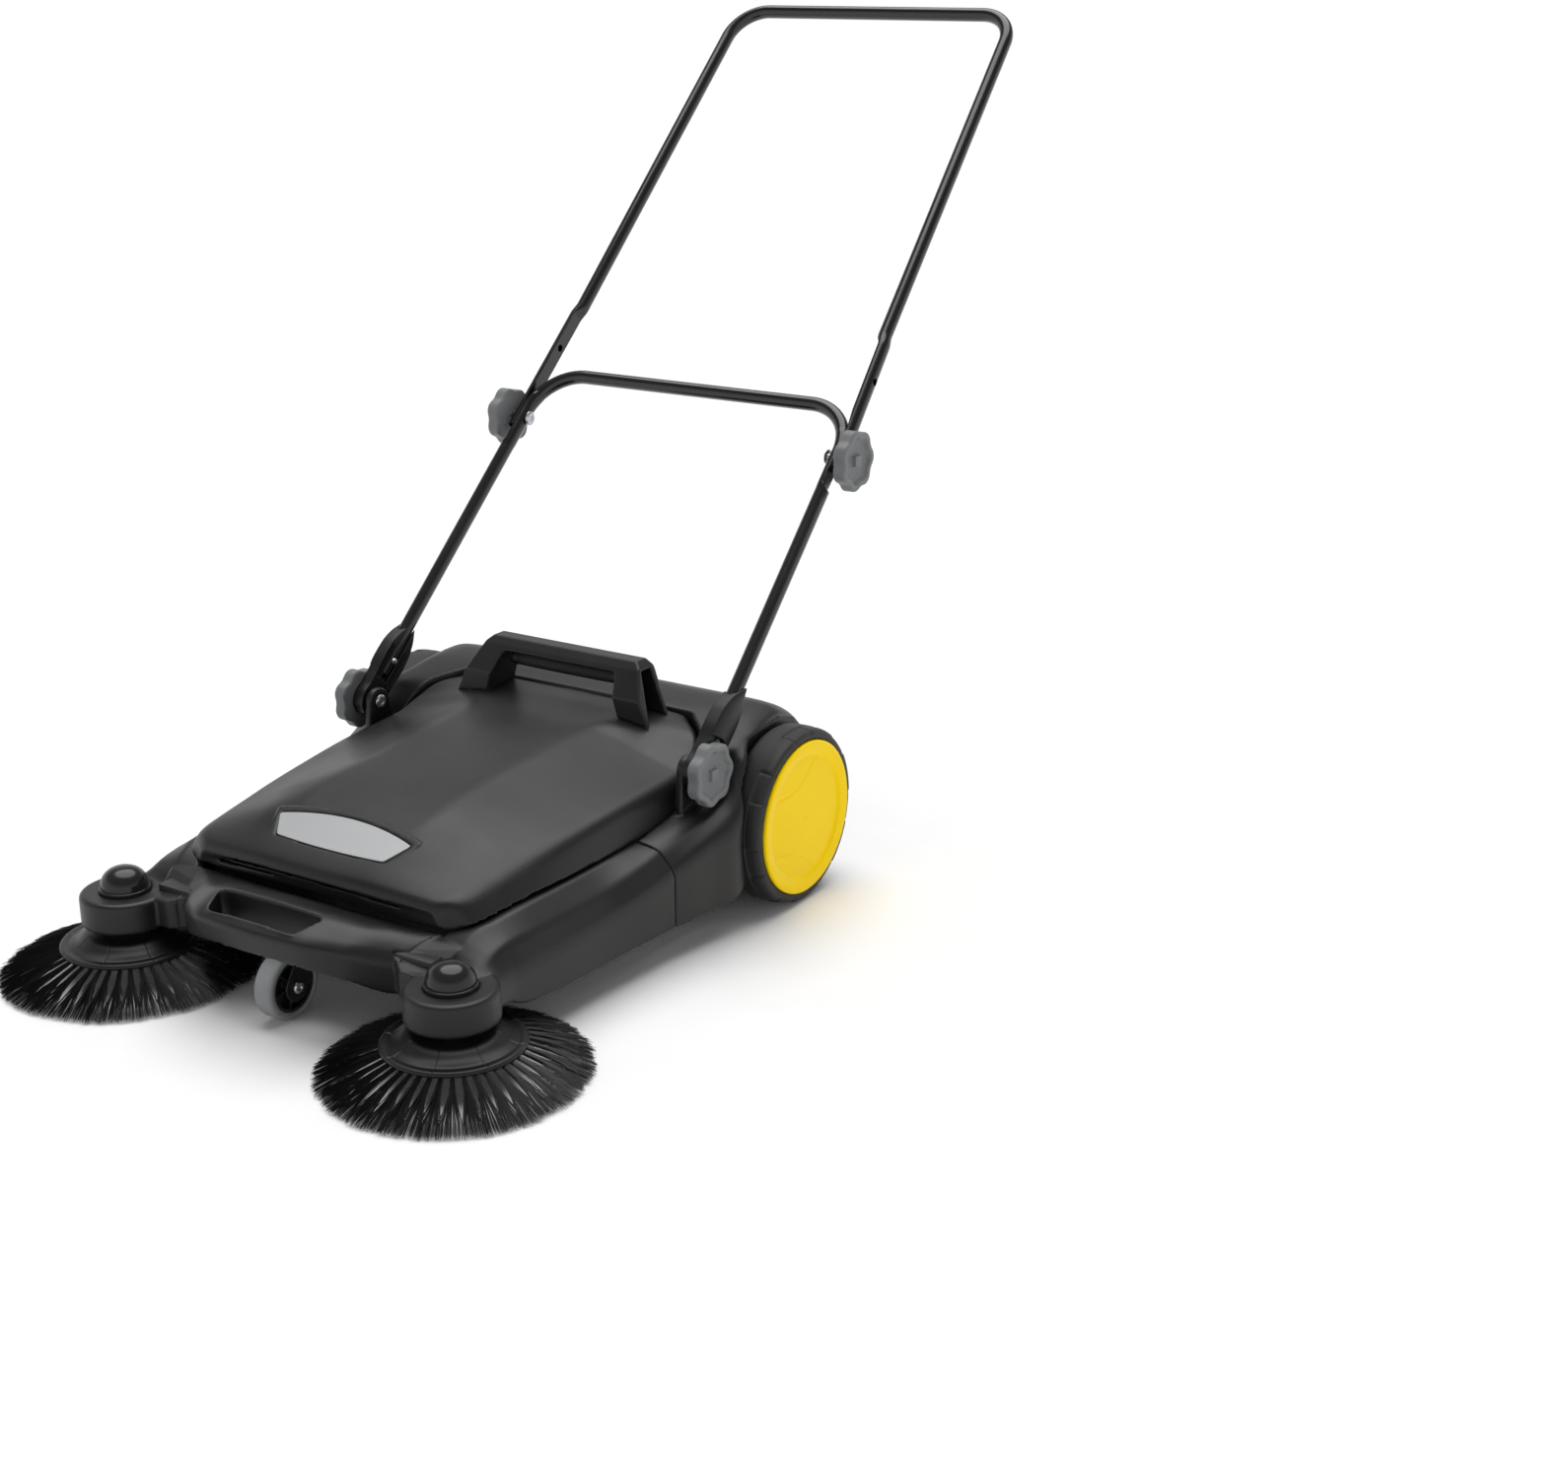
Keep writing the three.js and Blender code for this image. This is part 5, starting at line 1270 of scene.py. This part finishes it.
def material(name, colour, roughness, grain=(900, 0.12), mottle=0.12, wear=(0.0, 0.0), metallic=0.0,
             coat=0.0, streak=None, dust=0.0, shine=SHINE):
    """A moulded, painted or metal surface: colour variation, fine grain, worn edges and light dust.

    grain is (repeats per metre, bump depth); wear is (amount, edge colour); streak stretches the grain.
    """
    made = bpy.data.materials.new(name)
    made.use_nodes = True
    tree = made.node_tree
    shader = tree.nodes["Principled BSDF"]
    shader.inputs["Metallic"].default_value = metallic
    shader.inputs["Specular IOR Level"].default_value = shine
    shader.inputs["Coat Weight"].default_value = coat
    shader.inputs["Coat Roughness"].default_value = 0.08
    place = node(tree, "ShaderNodeTexCoord")
    scale = node(tree, "ShaderNodeMapping")
    tree.links.new(place.outputs["Object"], scale.inputs["Vector"])
    if streak:
        scale.inputs["Scale"].default_value = streak

    fine = node(tree, "ShaderNodeTexNoise")
    fine.inputs["Scale"].default_value = grain[0]
    fine.inputs["Detail"].default_value = 3
    tree.links.new(scale.outputs["Vector"], fine.inputs["Vector"])
    broad = node(tree, "ShaderNodeTexNoise")
    broad.inputs["Scale"].default_value = 14
    broad.inputs["Detail"].default_value = 5
    tree.links.new(scale.outputs["Vector"], broad.inputs["Vector"])

    tone = node(tree, "ShaderNodeMapRange")
    tone.inputs["From Min"].default_value = 0.3
    tone.inputs["From Max"].default_value = 0.7
    tone.inputs["To Min"].default_value = 1 - mottle
    tone.inputs["To Max"].default_value = 1 + mottle
    tree.links.new(broad.outputs["Fac"], tone.inputs["Value"])
    base = node(tree, "ShaderNodeVectorMath", operation="SCALE")
    base.inputs[0].default_value = colour
    tree.links.new(tone.outputs["Result"], base.inputs["Scale"])
    current = base.outputs["Vector"]

    shape = node(tree, "ShaderNodeNewGeometry")
    if wear[0]:
        edge = node(tree, "ShaderNodeMapRange")
        edge.inputs["From Min"].default_value = 0.515
        edge.inputs["From Max"].default_value = 0.60
        edge.inputs["To Max"].default_value = wear[0]
        tree.links.new(shape.outputs["Pointiness"], edge.inputs["Value"])
        worn = node(tree, "ShaderNodeMix", data_type="RGBA")
        worn.inputs["B"].default_value = (wear[1], wear[1], wear[1], 1)
        tree.links.new(edge.outputs["Result"], worn.inputs["Factor"])
        tree.links.new(current, worn.inputs["A"])
        current = worn.outputs["Result"]
    if dust:
        up = node(tree, "ShaderNodeSeparateXYZ")
        tree.links.new(shape.outputs["Normal"], up.inputs["Vector"])
        patch = node(tree, "ShaderNodeMath", operation="MULTIPLY", use_clamp=True)
        tree.links.new(up.outputs["Z"], patch.inputs[0])
        tree.links.new(broad.outputs["Fac"], patch.inputs[1])
        amount = node(tree, "ShaderNodeMath", operation="MULTIPLY", use_clamp=True)
        amount.inputs[1].default_value = dust
        tree.links.new(patch.outputs["Value"], amount.inputs[0])
        dusty = node(tree, "ShaderNodeMix", data_type="RGBA")
        dusty.inputs["B"].default_value = (0.35, 0.34, 0.32, 1)
        tree.links.new(amount.outputs["Value"], dusty.inputs["Factor"])
        tree.links.new(current, dusty.inputs["A"])
        current = dusty.outputs["Result"]
    tree.links.new(current, shader.inputs["Base Color"])

    rough = node(tree, "ShaderNodeMapRange")
    rough.inputs["From Min"].default_value = 0.3
    rough.inputs["From Max"].default_value = 0.7
    rough.inputs["To Min"].default_value = roughness - 0.05
    rough.inputs["To Max"].default_value = roughness + 0.05
    tree.links.new(broad.outputs["Fac"], rough.inputs["Value"])
    tree.links.new(rough.outputs["Result"], shader.inputs["Roughness"])

    bump = node(tree, "ShaderNodeBump")
    bump.inputs["Strength"].default_value = grain[1]
    bump.inputs["Distance"].default_value = 0.0005
    tree.links.new(fine.outputs["Fac"], bump.inputs["Height"])
    tree.links.new(bump.outputs["Normal"], shader.inputs["Normal"])
    return made


def build_looks():
    return {
        "shell": material("shell", (0.0095, 0.0095, 0.010), 0.40, (1100, 0.16), 0.10, (0.35, 0.06),
                          dust=0.006),
        "part": material("part", (0.007, 0.007, 0.0075), 0.40, (1400, 0.14), 0.12, (0.30, 0.05)),
        "gloss": material("gloss", (0.014, 0.014, 0.015), 0.17, (500, 0.02), 0.08, (0.15, 0.04)),
        "grey": material("grey", (0.165, 0.170, 0.174), 0.46, (1200, 0.14), 0.07, (0.35, 0.34), dust=0.02),
        "yellow": material("yellow", (1.0, 0.69, 0.0), 0.36, (700, 0.05), 0.025, (0.0, 0.0), shine=0.1),
        "rubber": material("rubber", (0.017, 0.017, 0.018), 0.55, (1500, 0.22), 0.15, (0.3, 0.06), dust=0.02),
        "grey_rubber": material("grey_rubber", (0.24, 0.245, 0.25), 0.6, (1200, 0.2), 0.10, (0.3, 0.34)),
        "bristle": material("bristle", (0.008, 0.008, 0.0085), 0.38, (2000, 0.05), 0.45),
        "paint": material("paint", (0.006, 0.006, 0.007), 0.2, (260, 0.03), 0.10, (0.2, 0.03), coat=0.4),
        "steel": material("steel", (0.485, 0.503, 0.527), 0.3, (1600, 0.1), 0.06, (0.3, 0.75), metallic=1.0),
        "silver": material("silver", (0.36, 0.365, 0.37), 0.38, (900, 0.12), 0.04, (0.4, 0.8), metallic=0.55,
                           streak=(0.12, 1.6, 1.6)),
    }


def dress_hidden_parts(looks):
    """Materials for the CAD nodes that stay as they are."""
    kinds = {
        "stub_axle": "steel", "roller_bush": "grey", "brush_belt": "rubber", "wheel_rim": "part",
        "drive_pinion": "grey", "belt_pulley": "grey", "brush_spindle": "grey", "bracket_rivet": "steel",
    }
    for name, obj in frame["nodes"].items():
        kind = name.rsplit("_", 1)[0]
        if kind in kinds:
            obj.data.materials.clear()
            obj.data.materials.append(looks[kinds[kind]])


# ---- floor, light and camera -----------------------------------------------
def build_stage():
    size = 30.0
    mesh = bpy.data.meshes.new("floor")
    corners = [(-size, -size, 0), (size, -size, 0), (size, size, 0), (-size, size, 0)]
    mesh.from_pydata(corners, [], [(0, 1, 2, 3)])
    floor = bpy.data.objects.new("floor", mesh)
    bpy.context.scene.collection.objects.link(floor)
    floor.data.materials.append(material("floor", (0.9, 0.9, 0.9), 0.75, (60, 0.02), 0.01))


def build_lights():
    world = bpy.data.worlds.new("studio")
    bpy.context.scene.world = world
    world.use_nodes = True
    tree = world.node_tree
    background = tree.nodes["Background"]
    direction = node(tree, "ShaderNodeTexCoord")
    height = node(tree, "ShaderNodeSeparateXYZ")
    tree.links.new(direction.outputs["Generated"], height.inputs["Vector"])
    fall = node(tree, "ShaderNodeMapRange", interpolation_type="SMOOTHSTEP")
    for socket, value in (("From Min", 0.2), ("From Max", 0.55), ("To Min", 1.0), ("To Max", 0.22)):
        fall.inputs[socket].default_value = value
    tree.links.new(height.outputs["Z"], fall.inputs["Value"])
    tree.links.new(fall.outputs["Result"], background.inputs["Strength"])
    background.inputs["Color"].default_value = (1, 1, 1, 1)

    sun = bpy.data.lights.new("overhead", "SUN")
    sun.energy = 2.75
    sun.angle = math.radians(60)
    lamp = bpy.data.objects.new("overhead", sun)
    bpy.context.scene.collection.objects.link(lamp)
    lamp.rotation_euler = (math.radians(-14), math.radians(-8), 0)


def build_camera():
    camera = bpy.data.cameras.new("camera")
    camera.sensor_width = 36
    camera.lens = 51.13
    obj = bpy.data.objects.new("camera", camera)
    bpy.context.scene.collection.objects.link(obj)
    obj.location = (1.4335, -1.8893, 0.9654)
    obj.rotation_euler = (math.radians(70.65), 0, math.radians(31.927))
    bpy.context.scene.camera = obj
    bpy.context.scene.view_settings.view_transform = "Standard"


looks = build_looks()
build_camera()
build_lights()
build_stage()
build_container(looks)
build_front(looks)
build_housing(looks)
build_domes(looks)
build_wheels(looks)
build_brushes(looks)
build_roller(looks)
build_caster(looks)
build_tubes(looks)
build_brackets(looks)
build_knobs(looks)
dress_hidden_parts(looks)
